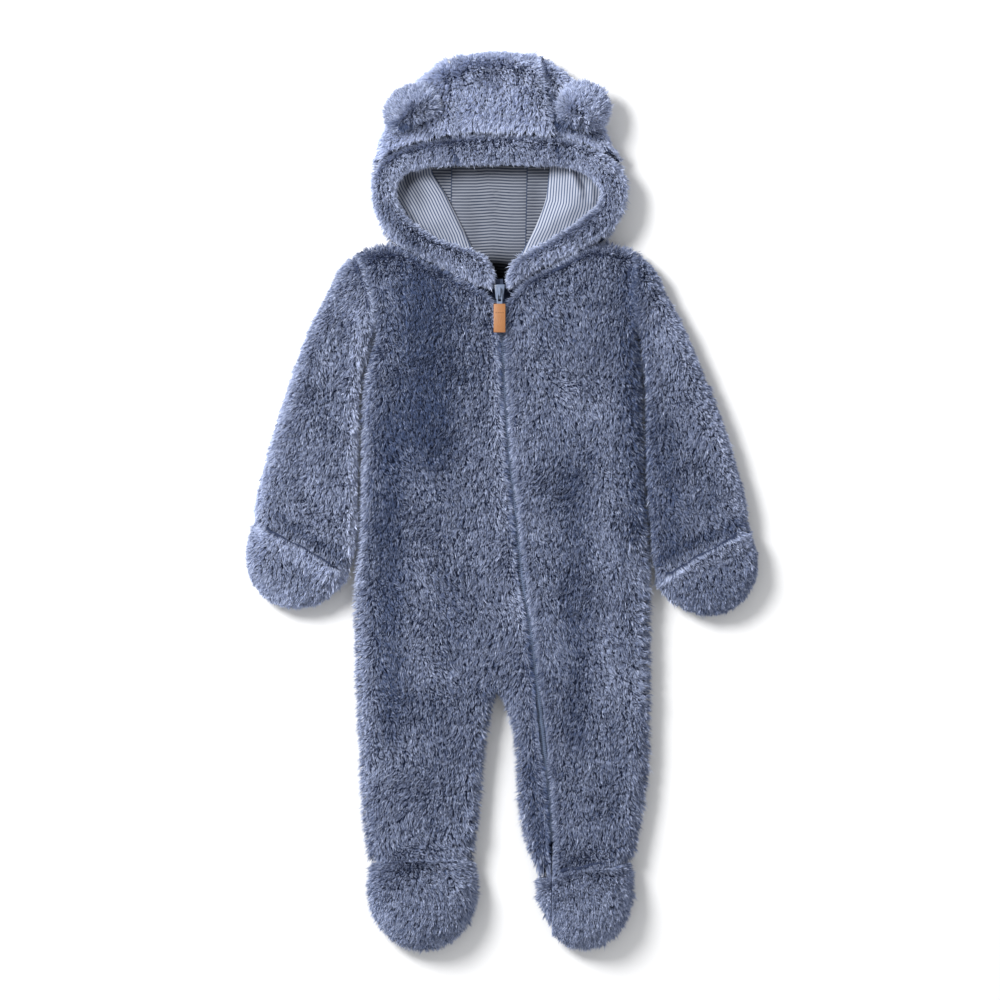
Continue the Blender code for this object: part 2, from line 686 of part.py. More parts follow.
def loft(rings):
    """Closed rings of equal count joined one to the next, with flat fans over the two ends."""
    count = len(rings[0])
    points = np.vstack(rings)
    faces = []
    for k in range(len(rings) - 1):
        for i in range(count):
            a, b = k * count + i, k * count + (i + 1) % count
            faces += [(a, b, b + count), (a, b + count, a + count)]
    first = len(points)
    points = np.vstack([points, rings[0].mean(axis=0), rings[-1].mean(axis=0)])
    last = (len(rings) - 1) * count
    for i in range(count):
        j = (i + 1) % count
        faces += [(first, j, i), (first + 1, last + i, last + j)]
    return points, outward_facing(points, faces)


def outward_facing(points, faces):
    """The faces, turned round where the solid would be inside out."""
    corners = points[np.array(faces)]
    volume = np.einsum("ij,ij->i", corners[:, 0], np.cross(corners[:, 1], corners[:, 2])).sum()
    return faces if volume > 0 else [face[::-1] for face in faces]


# ---------------------------------------------------------------- body, sleeves and feet

def brim_line(column, first=0, last=len(BRIM) - 1, count=None):
    """The inner or outer edge of the brim from one row of its table to another."""
    knots = [Place(getattr(row, column + "_x"), getattr(row, column + "_y")) for row in BRIM]
    line = smooth_line(knots, 2.0)
    rows = [int(np.linalg.norm(line - knot, axis=1).argmin()) for knot in knots]
    count = count or max(2, round((rows[last] - rows[first]) / 3))
    index = np.interp(np.linspace(first, last, count), np.arange(len(BRIM)), rows)
    every = np.arange(len(line))
    return np.column_stack([np.interp(index, every, line[:, 0]), np.interp(index, every, line[:, 1])])


def front_neck(which):
    """The edge of a front that meets the brim, from the shoulder corner to the zip."""
    if which == "right":
        line, corner, away = brim_line("outer", 0, 5)[::-1], NECK_CORNER_RIGHT, -1
    else:
        line, corner, away = brim_line("outer", len(BRIM) - 6), NECK_CORNER_LEFT, 1
    line = shifted(line, away * BRIM_GAP)
    line = line[line[:, 1] < corner.y - 2]
    return np.vstack([[corner], even(line, 6.0)])


def make_fronts():
    """The two fronts, from the neck to the ankles, on either side of the zip."""
    for which in ("right", "left"):
        turn = 1 if which == "right" else -1
        neck = front_neck(which)
        zip_edge = zip_line(-turn)
        zip_edge = zip_edge[zip_edge[:, 1] < neck[-1][1] - 1.5]
        armhole = shifted(LINES["armhole_" + which], turn * HALF_GAP)
        ankle = LINES["ankle_" + which] + (0, HALF_GAP)
        parts = [neck[::-1], LINES["shoulder_" + which][1:-1], armhole, LINES["side_" + which][1:-1]]
        if which == "right":
            parts += [ankle, LINES["inseam_right"][::-1][1:-1], LINES["inseam_left"][:-1], zip_edge[::-1]]
        else:
            parts += [ankle[ankle[:, 0] > zip_edge[-1][0] + 4], zip_edge[::-1]]
        shape = patch(joined(*parts), FRONT_TOP, edge_lift=HALF_GAP)
        add_object("front_" + which, "pile", *walled(shape, PILE_WALL - parting(shape[0][:, :2])))


def make_back():
    """The back, from the neck to both ankles."""
    parts = [LINES["back_neck"] + (0, -HALF_GAP), LINES["shoulder_left"][1:-1],
             shifted(LINES["armhole_left"], -HALF_GAP), LINES["side_left"][1:-1],
             LINES["ankle_left"] + (0, HALF_GAP), LINES["inseam_left"][::-1][1:-1],
             LINES["inseam_right"][:-1], (LINES["ankle_right"] + (0, HALF_GAP))[::-1],
             LINES["side_right"][::-1][1:-1], shifted(LINES["armhole_right"], HALF_GAP)[::-1],
             LINES["shoulder_right"][::-1][1:-1]]
    shape = patch(joined(*parts), upper=False, grid=3 * GRID, edge_lift=-HALF_GAP)
    add_object("back", "pile", *walled(shape, PILE_WALL))


def cuff_lines(which):
    """The cuff's edge, and the line inside it where the sleeve's top layer ends."""
    mitt = {"right": MITT_RIGHT, "left": MITT_LEFT}[which]
    tilt = math.radians(mitt.tilt)
    down = np.array([math.sin(tilt), -math.cos(tilt)])
    return LINES["cuff_" + which], down


def make_sleeves():
    """The sleeves, each folded along its outer edge."""
    for which in ("right", "left"):
        turn = 1 if which == "right" else -1
        cuff, down = cuff_lines(which)
        armhole = shifted(LINES["armhole_" + which], -turn * HALF_GAP)
        wrist = cuff - down * HALF_GAP
        outline = joined(armhole, LINES["underarm_" + which][1:-1], wrist,
                         LINES["sleeve_" + which][::-1][1:-1])
        upper = patch(outline)
        under = patch(outline, upper=False, grid=3 * GRID)
        add_object("sleeve_" + which, "pile", *walled(merged(upper, under), PILE_WALL))


def make_mitts():
    """The hand covers, folded over the ends of the sleeves."""
    for which in ("right", "left"):
        cuff, down = cuff_lines(which)
        mouth = cuff + down * HALF_GAP
        outline = joined(mouth, LINES["mitt_" + which][1:-1])
        upper = patch(outline, MITT_TOP, grid=10.0)
        under = patch(outline, upper=False, grid=2 * GRID)
        add_object("mitt_" + which, "pile", *walled(merged(upper, under), PILE_WALL))


def make_feet():
    """The upper and the sole of each foot."""
    for which in ("right", "left"):
        ankle = LINES["ankle_" + which] - (0, HALF_GAP)
        outline = joined(ankle[::-1], LINES["foot_" + which][1:-1])
        vamp = patch(outline, grid=11.0, edge_lift=HALF_GAP)
        sole = patch(outline, upper=False, grid=2 * GRID, edge_lift=-HALF_GAP)
        add_object("vamp_" + which, "pile", *walled(vamp, PILE_WALL))
        add_object("sole_" + which, "pile", *walled(sole, PILE_WALL))


# ---------------------------------------------------------------- hood

def hood_seams(which):
    """A seam between the hood's middle and one side: over the crown to the brim, and down the back."""
    edge = LINES["hood_" + which]
    top = stretch(edge, HOOD_SEAM_TOPS[which], HOOD_SEAM_TOPS[which] - 1)[0]
    front = HOOD_SEAM_RIGHT if which == "right" else HOOD_SEAM_LEFT
    over = smooth_line([top] + list(front))
    neck_y = np.interp(BACK_SEAM[which], LINES["back_neck"][:, 0], LINES["back_neck"][:, 1])
    down = smooth_line([top, Place((top[0] + BACK_SEAM[which]) / 2, 320), Place(BACK_SEAM[which], 270),
                        Place(BACK_SEAM[which], neck_y)], 14)
    return over, down


def crease(low_x, high_x):
    """The edge of the hood's top that meets the brim, between two values of X."""
    line = shifted(brim_line("outer", 5, 16), BRIM_GAP)
    line = line[(line[:, 1] > 255) & (line[:, 0] > low_x) & (line[:, 0] < high_x)]
    return even(line, 6.0)


def make_hood():
    """The hood: a centre strip over the crown and a side on each hand."""
    neck = LINES["back_neck"] + (0, HALF_GAP)
    seams = {which: hood_seams(which) for which in ("right", "left")}
    for which in ("right", "left"):
        turn = 1 if which == "right" else -1
        edge = LINES["hood_" + which]
        over, down = (shifted(line, -turn * HALF_GAP) for line in seams[which])
        crown = stretch(edge, HOOD_SEAM_TOPS[which], CREASE_ENDS[which])
        lower = stretch(edge, CREASE_ENDS[which], edge[-1][1])
        if which == "right":
            meeting = crease(crown[-1][0] + 4, over[-1][0] - 2)
            own_neck = neck[neck[:, 0] < down[-1][0] - 2]
        else:
            meeting = crease(over[-1][0] + 2, crown[-1][0] - 4)[::-1]
            own_neck = neck[neck[:, 0] > down[-1][0] + 2][::-1]
        upper = patch(joined(crown[1:], meeting, over[::-1]), HOOD_FORM)
        under = patch(joined(crown[1:], lower[1:], own_neck[1:], down[::-1]), HOOD_FORM, upper=False,
                      grid=3 * GRID)
        add_object("hood_side_" + which, "pile", *walled(merged(upper, under), PILE_WALL))
    over_right, down_right = (shifted(line, HALF_GAP) for line in seams["right"])
    over_left, down_left = (shifted(line, -HALF_GAP) for line in seams["left"])
    crown = np.vstack([stretch(LINES["hood_right"], HOOD_SEAM_TOPS["right"], HOOD_TOP.y)[1:],
                       stretch(LINES["hood_left"], HOOD_TOP.y, HOOD_SEAM_TOPS["left"])[1:-1]])
    meeting = crease(over_right[-1][0] + 2, over_left[-1][0] - 2)
    middle_neck = neck[(neck[:, 0] > down_right[-1][0] + 2) & (neck[:, 0] < down_left[-1][0] - 2)]
    upper = patch(joined(crown, over_left, meeting[::-1], over_right[::-1]), HOOD_FORM)
    under = patch(joined(crown, down_left, middle_neck[::-1], down_right[::-1]), HOOD_FORM, upper=False,
                  grid=3 * GRID)
    add_object("hood_centre", "pile", *walled(merged(upper, under), PILE_WALL))


def make_brim():
    """The rolled brim round the face opening."""
    inner, outer = (brim_line(column, count=BRIM_RINGS) for column in ("inner", "outer"))
    angles = np.linspace(0, 2 * math.pi, 12, endpoint=False) + math.pi / 12
    rings = []
    for k, (a, b) in enumerate(zip(inner, outer)):
        scale = {0: 0.62, 1: 0.9}.get(min(k, BRIM_RINGS - 1 - k), 1.0)
        middle, half = (a + b) / 2, (b - a) / 2
        u = np.sign(np.cos(angles)) * np.abs(np.cos(angles)) ** (2 / BRIM_BULGE)
        v = np.sign(np.sin(angles)) * np.abs(np.sin(angles)) ** (2 / BRIM_BULGE)
        z = (BRIM_HIGH + BRIM_LOW) / 2 + scale * (BRIM_HIGH - BRIM_LOW) / 2 * v
        rings.append(np.column_stack([middle[0] + scale * u * half[0], middle[1] + scale * u * half[1], z]))
    add_object("hood_brim", "pile", *loft(rings))


def make_lining():
    """The lining at the back of the hood, and the two sides that have slumped over it."""
    edge_right = shifted(LINES["hood_right"], LINING_INSET)
    edge_left = shifted(LINES["hood_left"], -LINING_INSET)
    right = stretch(edge_right, LINING_TOP, LINING_BOTTOM)
    left = stretch(edge_left, LINING_TOP, LINING_BOTTOM)
    outline = anticlockwise(joined(right, smooth_line(LINING_FOOT), left[::-1]))
    flat, faces = filled(outline, HOOD_FORM._replace(edges=[outline[:2] + 500]), grid=2 * GRID)
    level = np.full(len(flat), LINING_FLOOR + LINING_WALL)
    shape = np.column_stack([flat, level]), np.tile((0.0, 0.0, 1.0), (len(flat), 1)), faces
    add_object("lining_back", "lining", *walled(shape, LINING_WALL))
    opening = brim_line("inner")
    for which, free, first, last in (("right", LEAF_RIGHT, 2, 8), ("left", LEAF_LEFT, 11, 19)):
        inner, outer = brim_line("inner", first, last), brim_line("outer", first, last)
        tucked = even(inner, 6)
        match = np.array([outer[np.linalg.norm(outer - p, axis=1).argmin()] for p in tucked])
        tucked = even(tucked + 0.4 * (match - tucked))
        free_line = smooth_line(free)
        if which == "right":
            outline = joined(free_line, tucked)
        else:
            outline = joined(tucked, free_line[::-1])
        outline = anticlockwise(outline)
        form = Form([free_line], 0, LEAF_ROUND, 0, None)
        flat, faces = filled(outline, form, grid=9.0)

        def height(points):
            from_free, _ = distance_to(points, [free_line])
            from_tucked, _ = distance_to(points, [tucked])
            share = from_free / np.maximum(from_free + from_tucked, 1e-6)
            rounded = np.sqrt(1 - (1 - np.clip(from_free / LEAF_ROUND, 0, 1)) ** 2)
            shown = np.where(inside(points, opening), distance_to(points, [opening])[0], 0)
            bulge = LEAF_BULGE * np.clip(shown / 9, 0, 1) ** 1.5 * np.sin(math.pi * share)
            return (LEAF_EDGE_HEIGHT + rounded * 1.2
                    + (LEAF_OUTER_HEIGHT - LEAF_EDGE_HEIGHT - 1.2) * share + bulge)

        step = 0.4
        slope = np.column_stack([(height(flat + (step, 0)) - height(flat - (step, 0))) / (2 * step),
                                 (height(flat + (0, step)) - height(flat - (0, step))) / (2 * step)])
        slope = np.clip(slope, -0.8, 0.8)
        normals = np.column_stack([-slope, np.ones(len(flat))])
        normals /= np.linalg.norm(normals, axis=1, keepdims=True)
        shape = np.column_stack([flat, height(flat)]), normals, faces
        add_object("lining_" + which, "lining", *walled(shape, LINING_WALL))


def make_ears():
    """The two round ears."""
    for which, ear in (("right", EAR_RIGHT), ("left", EAR_LEFT)):
        tilt = math.radians(ear.tilt)
        cut = math.asin(ear.base / ear.half_height)
        sweep = np.linspace(cut, math.pi - cut, 40)
        u, v = ear.half_width * np.cos(sweep), ear.half_height * np.sin(sweep)
        arc = np.column_stack([ear.x + u * math.cos(tilt) - v * math.sin(tilt),
                               ear.y + u * math.sin(tilt) + v * math.cos(tilt)])
        arc = even(arc, 5)
        base = even(np.vstack([arc[-1], arc[0]]), 5)
        outline = anticlockwise(joined(arc, base[1:-1]))
        ring = np.vstack([outline, outline[:1]])
        flat, faces = filled(outline, Form([ring], 0, EAR_ROUND, 0, None), grid=6.0)
        within = inside(flat, np.vstack([LINES["hood_right"], LINES["hood_left"][::-1]]))
        below = surface(flat, HOOD_FORM)[0][:, 2]
        low = np.maximum(np.where(within, below + EAR_GAP, 0), EAR_LEAST_HEIGHT)
        away, _ = distance_to(flat, [ring])
        share = np.clip(away / EAR_ROUND, 0, 1)
        high = low + EAR_RIM + EAR_THICK * np.sqrt(1 - (1 - share) ** 2)
        top = np.column_stack([flat, high])
        bottom = np.column_stack([flat, low])
        count = len(flat)
        edges = {(a, b) for face in faces for a, b in zip(face, face[1:] + face[:1])}
        rim = [(a, b) for a, b in edges if (b, a) not in edges]
        body = list(faces) + [tuple(i + count for i in face[::-1]) for face in faces]
        body += [(b, a, a + count) for a, b in rim] + [(b, a + count, b + count) for a, b in rim]
        add_object("ear_" + which, "pile", np.vstack([top, bottom]), body)


# ---------------------------------------------------------------- zip

def tape_height(points):
    """Height of the tape's top, just under the cloth of the fronts."""
    tips, normals = surface(points, TOP)
    return tips[:, 2] - PILE_WALL / np.maximum(normals[:, 2], 0.5) - TAPE_CLEAR


def make_tapes():
    """The zip's two tapes."""
    line = zip_line()
    line = even(line[line[:, 1] > TAPE_END], 16.0)
    along = np.gradient(line, axis=0)
    along /= np.linalg.norm(along, axis=1, keepdims=True)
    to_left = np.column_stack([-along[:, 1], along[:, 0]])
    for which, sign in (("right", -1), ("left", 1)):
        rings = []
        for point, left in zip(line, to_left):
            wide = TAPE_NARROW if point[1] > SLIDER_TOP - SLIDER_LENGTH - 4 else TAPE_WIDTH
            offsets = np.linspace(HALF_GAP, wide, 3)
            places = point + sign * offsets[:, None] * left
            top = tape_height(places)
            upper = np.column_stack([places, top])
            lower = np.column_stack([places, top - TAPE_THICK])[::-1]
            rings.append(np.vstack([upper, lower]))
        add_object("zip_tape_" + which, "tape", *loft(rings))


def box(name, kind, low, high, bevel=0.0, origin=(0.0, 0.0, 0.0)):
    """A block between two corners, with its edges rounded off."""
    mesh = bmesh.new()
    bmesh.ops.create_cube(mesh, size=1.0)
    low, high = np.array(low, float), np.array(high, float)
    for vertex in mesh.verts:
        vertex.co = tuple((low + (np.array(vertex.co) + 0.5) * (high - low) - origin) * MM)
    if bevel:
        bmesh.ops.bevel(mesh, geom=list(mesh.edges), offset=bevel * MM, segments=2, profile=0.5,
                        affect="EDGES")
    data = bpy.data.meshes.new(name)
    mesh.to_mesh(data)
    mesh.free()
    data.materials.append(material(kind))
    piece = bpy.data.objects.new(name, data)
    piece.location = [value * MM for value in origin]
    bpy.context.scene.collection.objects.link(piece)
    return piece


def combine(piece, other, operation):
    """A Boolean of one piece with a helper, which no longer shows."""
    step = piece.modifiers.new(other.name, "BOOLEAN")
    step.operation = operation
    step.object = other
    step.solver = "EXACT"
    other.hide_render = True
    other.display_type = "WIRE"


def make_slider():
    """The zip's slider with its bridge, and the place that its pull turns about."""
    middle = zip_line()
    y_low, y_high = SLIDER_TOP - SLIDER_LENGTH, SLIDER_TOP
    y_mid = (y_low + y_high) / 2
    x_mid = float(np.interp(y_mid, middle[::-1, 1], middle[::-1, 0]))
    floor = float(tape_height(np.array([[x_mid, y_mid]]))[0]) + 2 * GAP
    top = floor + SLIDER_HEIGHT
    slider = box("zip_slider", "metal", (x_mid - SLIDER_WIDTH / 2, y_low, floor),
                 (x_mid + SLIDER_WIDTH / 2, y_high, top))
    for vertex in slider.data.vertices:
        if vertex.co.y < y_mid * MM:
            vertex.co.x = (x_mid + math.copysign(SLIDER_NECK / 2, vertex.co.x - x_mid * MM)) * MM
    rounding = slider.modifiers.new("rounding", "BEVEL")
    rounding.width = SLIDER_CHAMFER * MM
    rounding.segments = 2
    bridge = box("bridge", "metal", (x_mid - BRIDGE_WIDTH / 2, y_mid - BRIDGE_LENGTH / 2, top - 1),
                 (x_mid + BRIDGE_WIDTH / 2, y_mid + BRIDGE_LENGTH / 2, top + BRIDGE_HEIGHT), 0.3)
    arch = box("arch", "metal", (x_mid - BRIDGE_WIDTH, y_mid - BRIDGE_LENGTH / 2 + BRIDGE_THICK, top + 0.02),
               (x_mid + BRIDGE_WIDTH, y_mid + BRIDGE_LENGTH / 2 - BRIDGE_THICK,
                top + BRIDGE_HEIGHT - BRIDGE_THICK))
    combine(bridge, arch, "DIFFERENCE")
    combine(slider, bridge, "UNION")
    pivot = (x_mid, y_mid - BRIDGE_LENGTH / 2 + BRIDGE_THICK + PULLER_THICK / 2 + GAP,
             top + (BRIDGE_HEIGHT - BRIDGE_THICK) / 2)
    return pivot


def make_pull(pivot):
    """The metal puller and its leather tab, hanging from the bridge towards the feet."""
    tilt = -math.radians(PULL_TILT)
    x, y, z = pivot
    puller = box("zip_puller", "metal",
                 (x - PULLER_WIDTH / 2, y - PULLER_LENGTH, z - PULLER_THICK / 2),
                 (x + PULLER_WIDTH / 2, y + PULLER_THICK / 2, z + PULLER_THICK / 2), 0.25, pivot)
    eye = box("eye", "metal",
              (x - PULLER_WIDTH / 2 + PULLER_RAIL, y - PULLER_EYE, z - PULLER_THICK),
              (x + PULLER_WIDTH / 2 - PULLER_RAIL, y - PULLER_THICK / 2, z + PULLER_THICK), 0.0, pivot)
    combine(puller, eye, "DIFFERENCE")
    start = y - PULLER_LENGTH + TAB_GRIP
    tab = box("zip_tab", "leather",
              (x - TAB_WIDTH / 2, start - TAB_LENGTH, z - TAB_THICK / 2),
              (x + TAB_WIDTH / 2, start, z + TAB_THICK / 2), 0.6, pivot)
    grip = box("grip", "leather",
               (x - PULLER_WIDTH / 2 - GAP, start - TAB_GRIP - GAP, z - PULLER_THICK / 2 - GAP),
               (x + PULLER_WIDTH / 2 + GAP, start + GAP, z + PULLER_THICK / 2 + GAP), 0.0, pivot)
    combine(tab, grip, "DIFFERENCE")
    for piece in (puller, eye, tab, grip):
        piece.rotation_euler.x = tilt


def clear_scene():
    """Removes everything that the file starts with."""
    for old in list(bpy.data.objects):
        bpy.data.objects.remove(old, do_unlink=True)


def main():
    """Builds the suit."""
    clear_scene()
    make_back()
    make_fronts()
    make_sleeves()
    make_mitts()
    make_feet()
    make_hood()
    make_brim()
    make_lining()
    make_ears()
    make_tapes()
    make_pull(make_slider())


main()
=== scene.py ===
"""The look of the pramsuit: backing cloth with pile on it, striped lining, zip, leather tab and stage.

Lengths in the tables are in millimetres, in the frame's own axes: +X the wearer's left, +Y towards the
hood, +Z up from the floor. Everything is built in metres.
"""

import json
import math

import bpy
import numpy as np
from bpy.props import FloatProperty, FloatVectorProperty, IntProperty, PointerProperty
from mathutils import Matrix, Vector
from mathutils.bvhtree import BVHTree
from mathutils.kdtree import KDTree

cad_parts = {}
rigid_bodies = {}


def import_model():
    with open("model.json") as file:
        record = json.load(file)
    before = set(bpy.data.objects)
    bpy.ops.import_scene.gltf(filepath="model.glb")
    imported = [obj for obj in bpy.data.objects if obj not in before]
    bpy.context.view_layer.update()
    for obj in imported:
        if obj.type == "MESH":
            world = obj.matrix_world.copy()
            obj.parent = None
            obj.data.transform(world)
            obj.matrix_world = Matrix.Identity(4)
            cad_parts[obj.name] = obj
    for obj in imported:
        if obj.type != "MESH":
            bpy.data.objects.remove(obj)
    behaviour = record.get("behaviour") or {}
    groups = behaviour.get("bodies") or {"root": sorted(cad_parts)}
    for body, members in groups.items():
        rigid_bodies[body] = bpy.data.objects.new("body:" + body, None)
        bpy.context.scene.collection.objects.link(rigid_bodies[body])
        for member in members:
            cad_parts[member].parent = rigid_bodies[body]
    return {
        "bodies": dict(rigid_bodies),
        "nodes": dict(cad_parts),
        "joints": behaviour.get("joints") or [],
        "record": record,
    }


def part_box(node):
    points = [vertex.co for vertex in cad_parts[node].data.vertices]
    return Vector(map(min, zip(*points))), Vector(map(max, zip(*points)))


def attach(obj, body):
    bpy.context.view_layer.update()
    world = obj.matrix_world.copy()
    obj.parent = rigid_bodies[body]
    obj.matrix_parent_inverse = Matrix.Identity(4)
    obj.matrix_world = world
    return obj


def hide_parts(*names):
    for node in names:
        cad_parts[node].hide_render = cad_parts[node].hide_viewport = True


bl_info = {
    "name": "Sherpa pramsuit",
    "version": (1, 0, 0),
    "blender": (4, 5, 0),
    "location": "View3D > Sidebar > Pramsuit",
    "description": "Builds a hooded pile-cloth pramsuit laid flat",
    "category": "Object",
}

MM = 0.001
FRAME = {}
RIM_ANGLES = (55.0, 46.0, 38.0, 30.0, 24.0)    # bends at which a wall's rim is looked for, in turn
STUFFED = ("hood_brim", "ear_right", "ear_left")    # pieces without an inner side
FREE_SHARE = 0.72        # share of an outer side that has nothing over it
STRIP = 0.25             # share of the strands' map that its colours take, from root to tip

# How each pile piece is covered, brushed in plan and cut, its cut measured flat.
# Columns: strands in thousands, brushed x, brushed y, tone (0 dark to 1 pale), puff (how upright),
# width, length, area in square millimetres.
# The tone column holds painted light: the sleeve, mitt and hood side on the lamp's side, the wearer's right, are
# set paler than their twins on the left.
PILE = {
    "front_right": (138, 0.04, -1.0, 0.43, 0.0, 170, 530, 58200),
    "front_left": (127, 0.05, -1.0, 0.43, 0.0, 170, 530, 46400),
    "back": (32, 0.0, -1.0, 0.38, 0.0, 270, 530, 106600),
    "sleeve_right": (61, -0.28, -1.0, 0.58, 0.0, 190, 270, 28200),
    "sleeve_left": (59, 0.30, -1.0, 0.43, 0.0, 190, 270, 26100),
    "mitt_right": (21, -0.45, -1.0, 0.68, 0.1, 90, 90, 6900),
    "mitt_left": (21, 0.45, -1.0, 0.41, 0.1, 90, 90, 6900),
    "vamp_right": (27, 0.0, -1.0, 0.47, 0.2, 110, 100, 6400),
    "vamp_left": (25, 0.0, -1.0, 0.47, 0.2, 110, 100, 5100),
    "sole_right": (7, 0.0, -1.0, 0.36, 0.0, 90, 80, 5100),
    "sole_left": (7, 0.0, -1.0, 0.36, 0.0, 90, 80, 4000),
    "hood_centre": (34, 0.0, -1.0, 0.96, 0.2, 100, 300, 14700),
    "hood_side_right": (28, -0.35, -1.0, 1.10, 0.2, 110, 170, 10500),
    "hood_side_left": (29, 0.35, -1.0, 0.90, 0.2, 95, 145, 11900),
    "hood_brim": (62, 0.0, -1.0, 0.68, 0.2, 50, 350, 15400),
    "ear_right": (13, 0.0, 1.0, 0.68, 0.8, 46, 46, 1950),
    "ear_left": (13, 0.0, 1.0, 0.84, 0.8, 48, 46, 2100),
}

# Soft creases of the upper layer, each along a straight run; below zero in rise is a trough.
# Columns: x0, y0, x1, y1, width, rise.
CREASES = (
    (-60, 118, -92, 104, 7, -1.6),
    (-50, 60, -84, 30, 10, -1.8),
    (-24, -20, -30, -90, 9, -1.6),
    (-96, 10, -100, -60, 6, -1.4),
    (-70, -100, -74, -170, 8, -1.5),
    (-40, -180, -60, -220, 9, -1.6),
    (24, 130, 60, 96, 8, -1.7),
    (34, 60, 52, 10, 11, -1.8),
    (90, 60, 96, -10, 7, -1.5),
    (78, -60, 90, -130, 9, -1.7),
    (50, -170, 60, -215, 8, -1.4),
    (20, -40, 40, -110, 7, 1.2),
    (-122, 150, -136, 92, 9, -1.7),
    (-140, 70, -160, 40, 8, -1.6),
    (-128, 30, -150, 6, 6, -1.6),
    (122, 140, 140, 86, 9, -1.7),
    (146, 50, 170, 20, 7, -1.6),
    (130, 20, 152, 0, 6, -1.5),
)

# Broad patches of painted light and shade, each along a line: paler (above zero) or darker where the pile lies
# another way and catches the light differently, painted highlights on the lit left edges and the rolled cuffs,
# and painted shadows along the zip's groove, in the hood's seams, under the ears and the brim and above the
# cuffs.
# Columns: x0, y0, x1, y1, width, tone, turn in degrees.
PAINTED_LIGHT_PATCHES = (
    (-64, 165, -56, 45, 26, -0.46, 12),
    (-90, 234, -66, 203, 7, -0.32, 0),
    (-88, 60, -88, -185, 12, -0.34, 14),
    (-64, 10, -62, -150, 11, 0.10, -10),
    (-44, -60, -42, -120, 10, -0.10, 8),
    (-113, 150, -115, -80, 6, 0.34, 0),
    (-84, -190, -78, -260, 16, 0.10, -20),
    (-70, -278, -60, -300, 16, -0.06, 20),
    (12, 80, 14, -90, 13, 0.16, 0),
    (-26, 80, -12, -60, 9, 0.08, 0),
    (30, 160, 50, 110, 14, -0.08, 0),
    (60, 86, 66, 74, 20, 0.10, 25),
    (56, 20, 62, -190, 11, -0.22, -12),
    (82, 90, 86, -150, 9, 0.08, 10),
    (105, 178, 110, -20, 12, -0.30, 0),
    (112, -60, 106, -250, 10, 0.06, 0),
    (36, 200, 50, 196, 14, 0.20, 0),
    (-10, -150, 8, -190, 9, -0.22, 30),
    (24, -210, 30, -280, 6, -0.24, 0),
    (-188, -24, -128, -61, 5, 0.30, 0),
    (-180, -10, -122, -46, 5, -0.34, 0),
    (132, -61, 196, -31, 5, 0.28, 0),
    (126, -46, 190, -16, 5, -0.30, 0),
    (-172, -52, -158, -62, 12, -0.20, 30),
    (-152, 150, -196, -10, 7, 0.24, 0),
    (-112, -90, -104, -230, 7, 0.20, 0),
    (0, 127, 6, 23, 2.4, -0.50, 0),
    (6, 23, 20, -86, 2.4, -0.50, 0),
    (20, -86, 35, -207, 2.4, -0.50, 0),
    (35, -207, 40, -294, 2.4, -0.50, 0),
    (-6, 120, 0, -60, 3.5, 0.16, 0),
    (-150, 20, -134, -20, 9, 0.16, 0),
    (-148, 90, -136, 60, 12, -0.14, 0),
    (128, 150, 150, 60, 14, 0.12, 0),
    (168, 70, 188, 0, 9, 0.20, 0),
    (132, 60, 136, -30, 10, -0.22, 0),
    (-28, 334, -20, 316, 12, 0.12, 30),
    (14, 340, 18, 300, 9, 0.10, -25),
    (36, 334, 44, 302, 10, -0.36, 0),
    (-34, 322, -38, 288, 2.6, -0.55, 0),
    (38, 328, 46, 290, 3.0, -0.50, 0),
    (-38, 279, -34, 268, 2.0, -0.60, 0),
    (46, 282, 47, 268, 2.0, -0.60, 0),
    (-86, 297, -50, 294, 4, -0.55, 0),
    (48, 298, 80, 291, 4, -0.60, 0),
)

# Where the two sides of the pile stand apart and the zip shows. Columns: from y, to y, clear half width.
ZIP_SHOWS = (
    (178, 160, 4.4),
    (-4, -18, 2.6),
    (-45, -86, 2.8),
    (-154, -208, 3.0),
)

# Bound seams of the hood's back lining, X at the height of the ears, and its soft relief.
SEAMS = (-39.2, 21.0)
# Columns: x, width, rise.
LINING_RELIEF = ((-39.2, 2.0, -0.9), (21.0, 2.0, -0.9), (-6.0, 5.0, 0.9), (33.0, 6.0, -1.0), (-28.0, 9.0, 0.5),
                 (8.0, 8.0, 0.5))

# Free edges of the two side linings. Columns: x, y.
LEAF_RIGHT = ((-56.0, 275.0), (-54.0, 261.0), (-44.5, 246.0), (-36.0, 229.5), (-28.6, 215.0), (-21.5, 196.0))
LEAF_LEFT = ((40.0, 275.0), (38.6, 258.0), (36.6, 240.0), (28.8, 219.5), (20.6, 203.0), (14.0, 190.0))
# Their creases. Columns: x0, y0, x1, y1, width, rise.
LEAF_CREASES = ((62, 262, 68, 250, 2.2, -2.6), (57, 260, 64, 244, 3.0, 1.6), (72, 256, 74, 238, 3.0, 1.4),
                (-78, 262, -72, 236, 3.0, -1.6))

# Painted shade on the jersey, in folds and deep under the brim; a depth below zero paints light instead. Columns:
# x, y, width, length, depth.
BACK_SHADES = ((-2, 182, 26, 13, 1.3), (27, 235, 5, 34, 0.32), (-44, 262, 6, 14, 0.5), (-22, 222, 7, 26, 0.18),
               (0, 268, 60, 7, 0.35), (-4, 240, 3, 30, 0.14))
LEAF_SHADES = ((-70, 252, 10, 14, 0.55), (-66, 236, 8, 12, 0.30), (-50, 215, 14, 10, 0.15), (68, 256, 4, 8, 0.30),
               (52, 232, 12, 16, -0.10))

# Where the pile reaches further than its lean. Columns: x, y, radius, how far right, how far up.
REACHES = (
    (33, -291, 8, 3.5, -7.0),
    (42, -292, 6, -3.0, -5.0),
    (38, -305, 5, -1.5, 3.0),
    (90, 276, 6, 3.0, 1.5),
    (-9, 167, 4, 3.2, 1.5),
    (9, 167, 4, -3.2, 1.5),
)

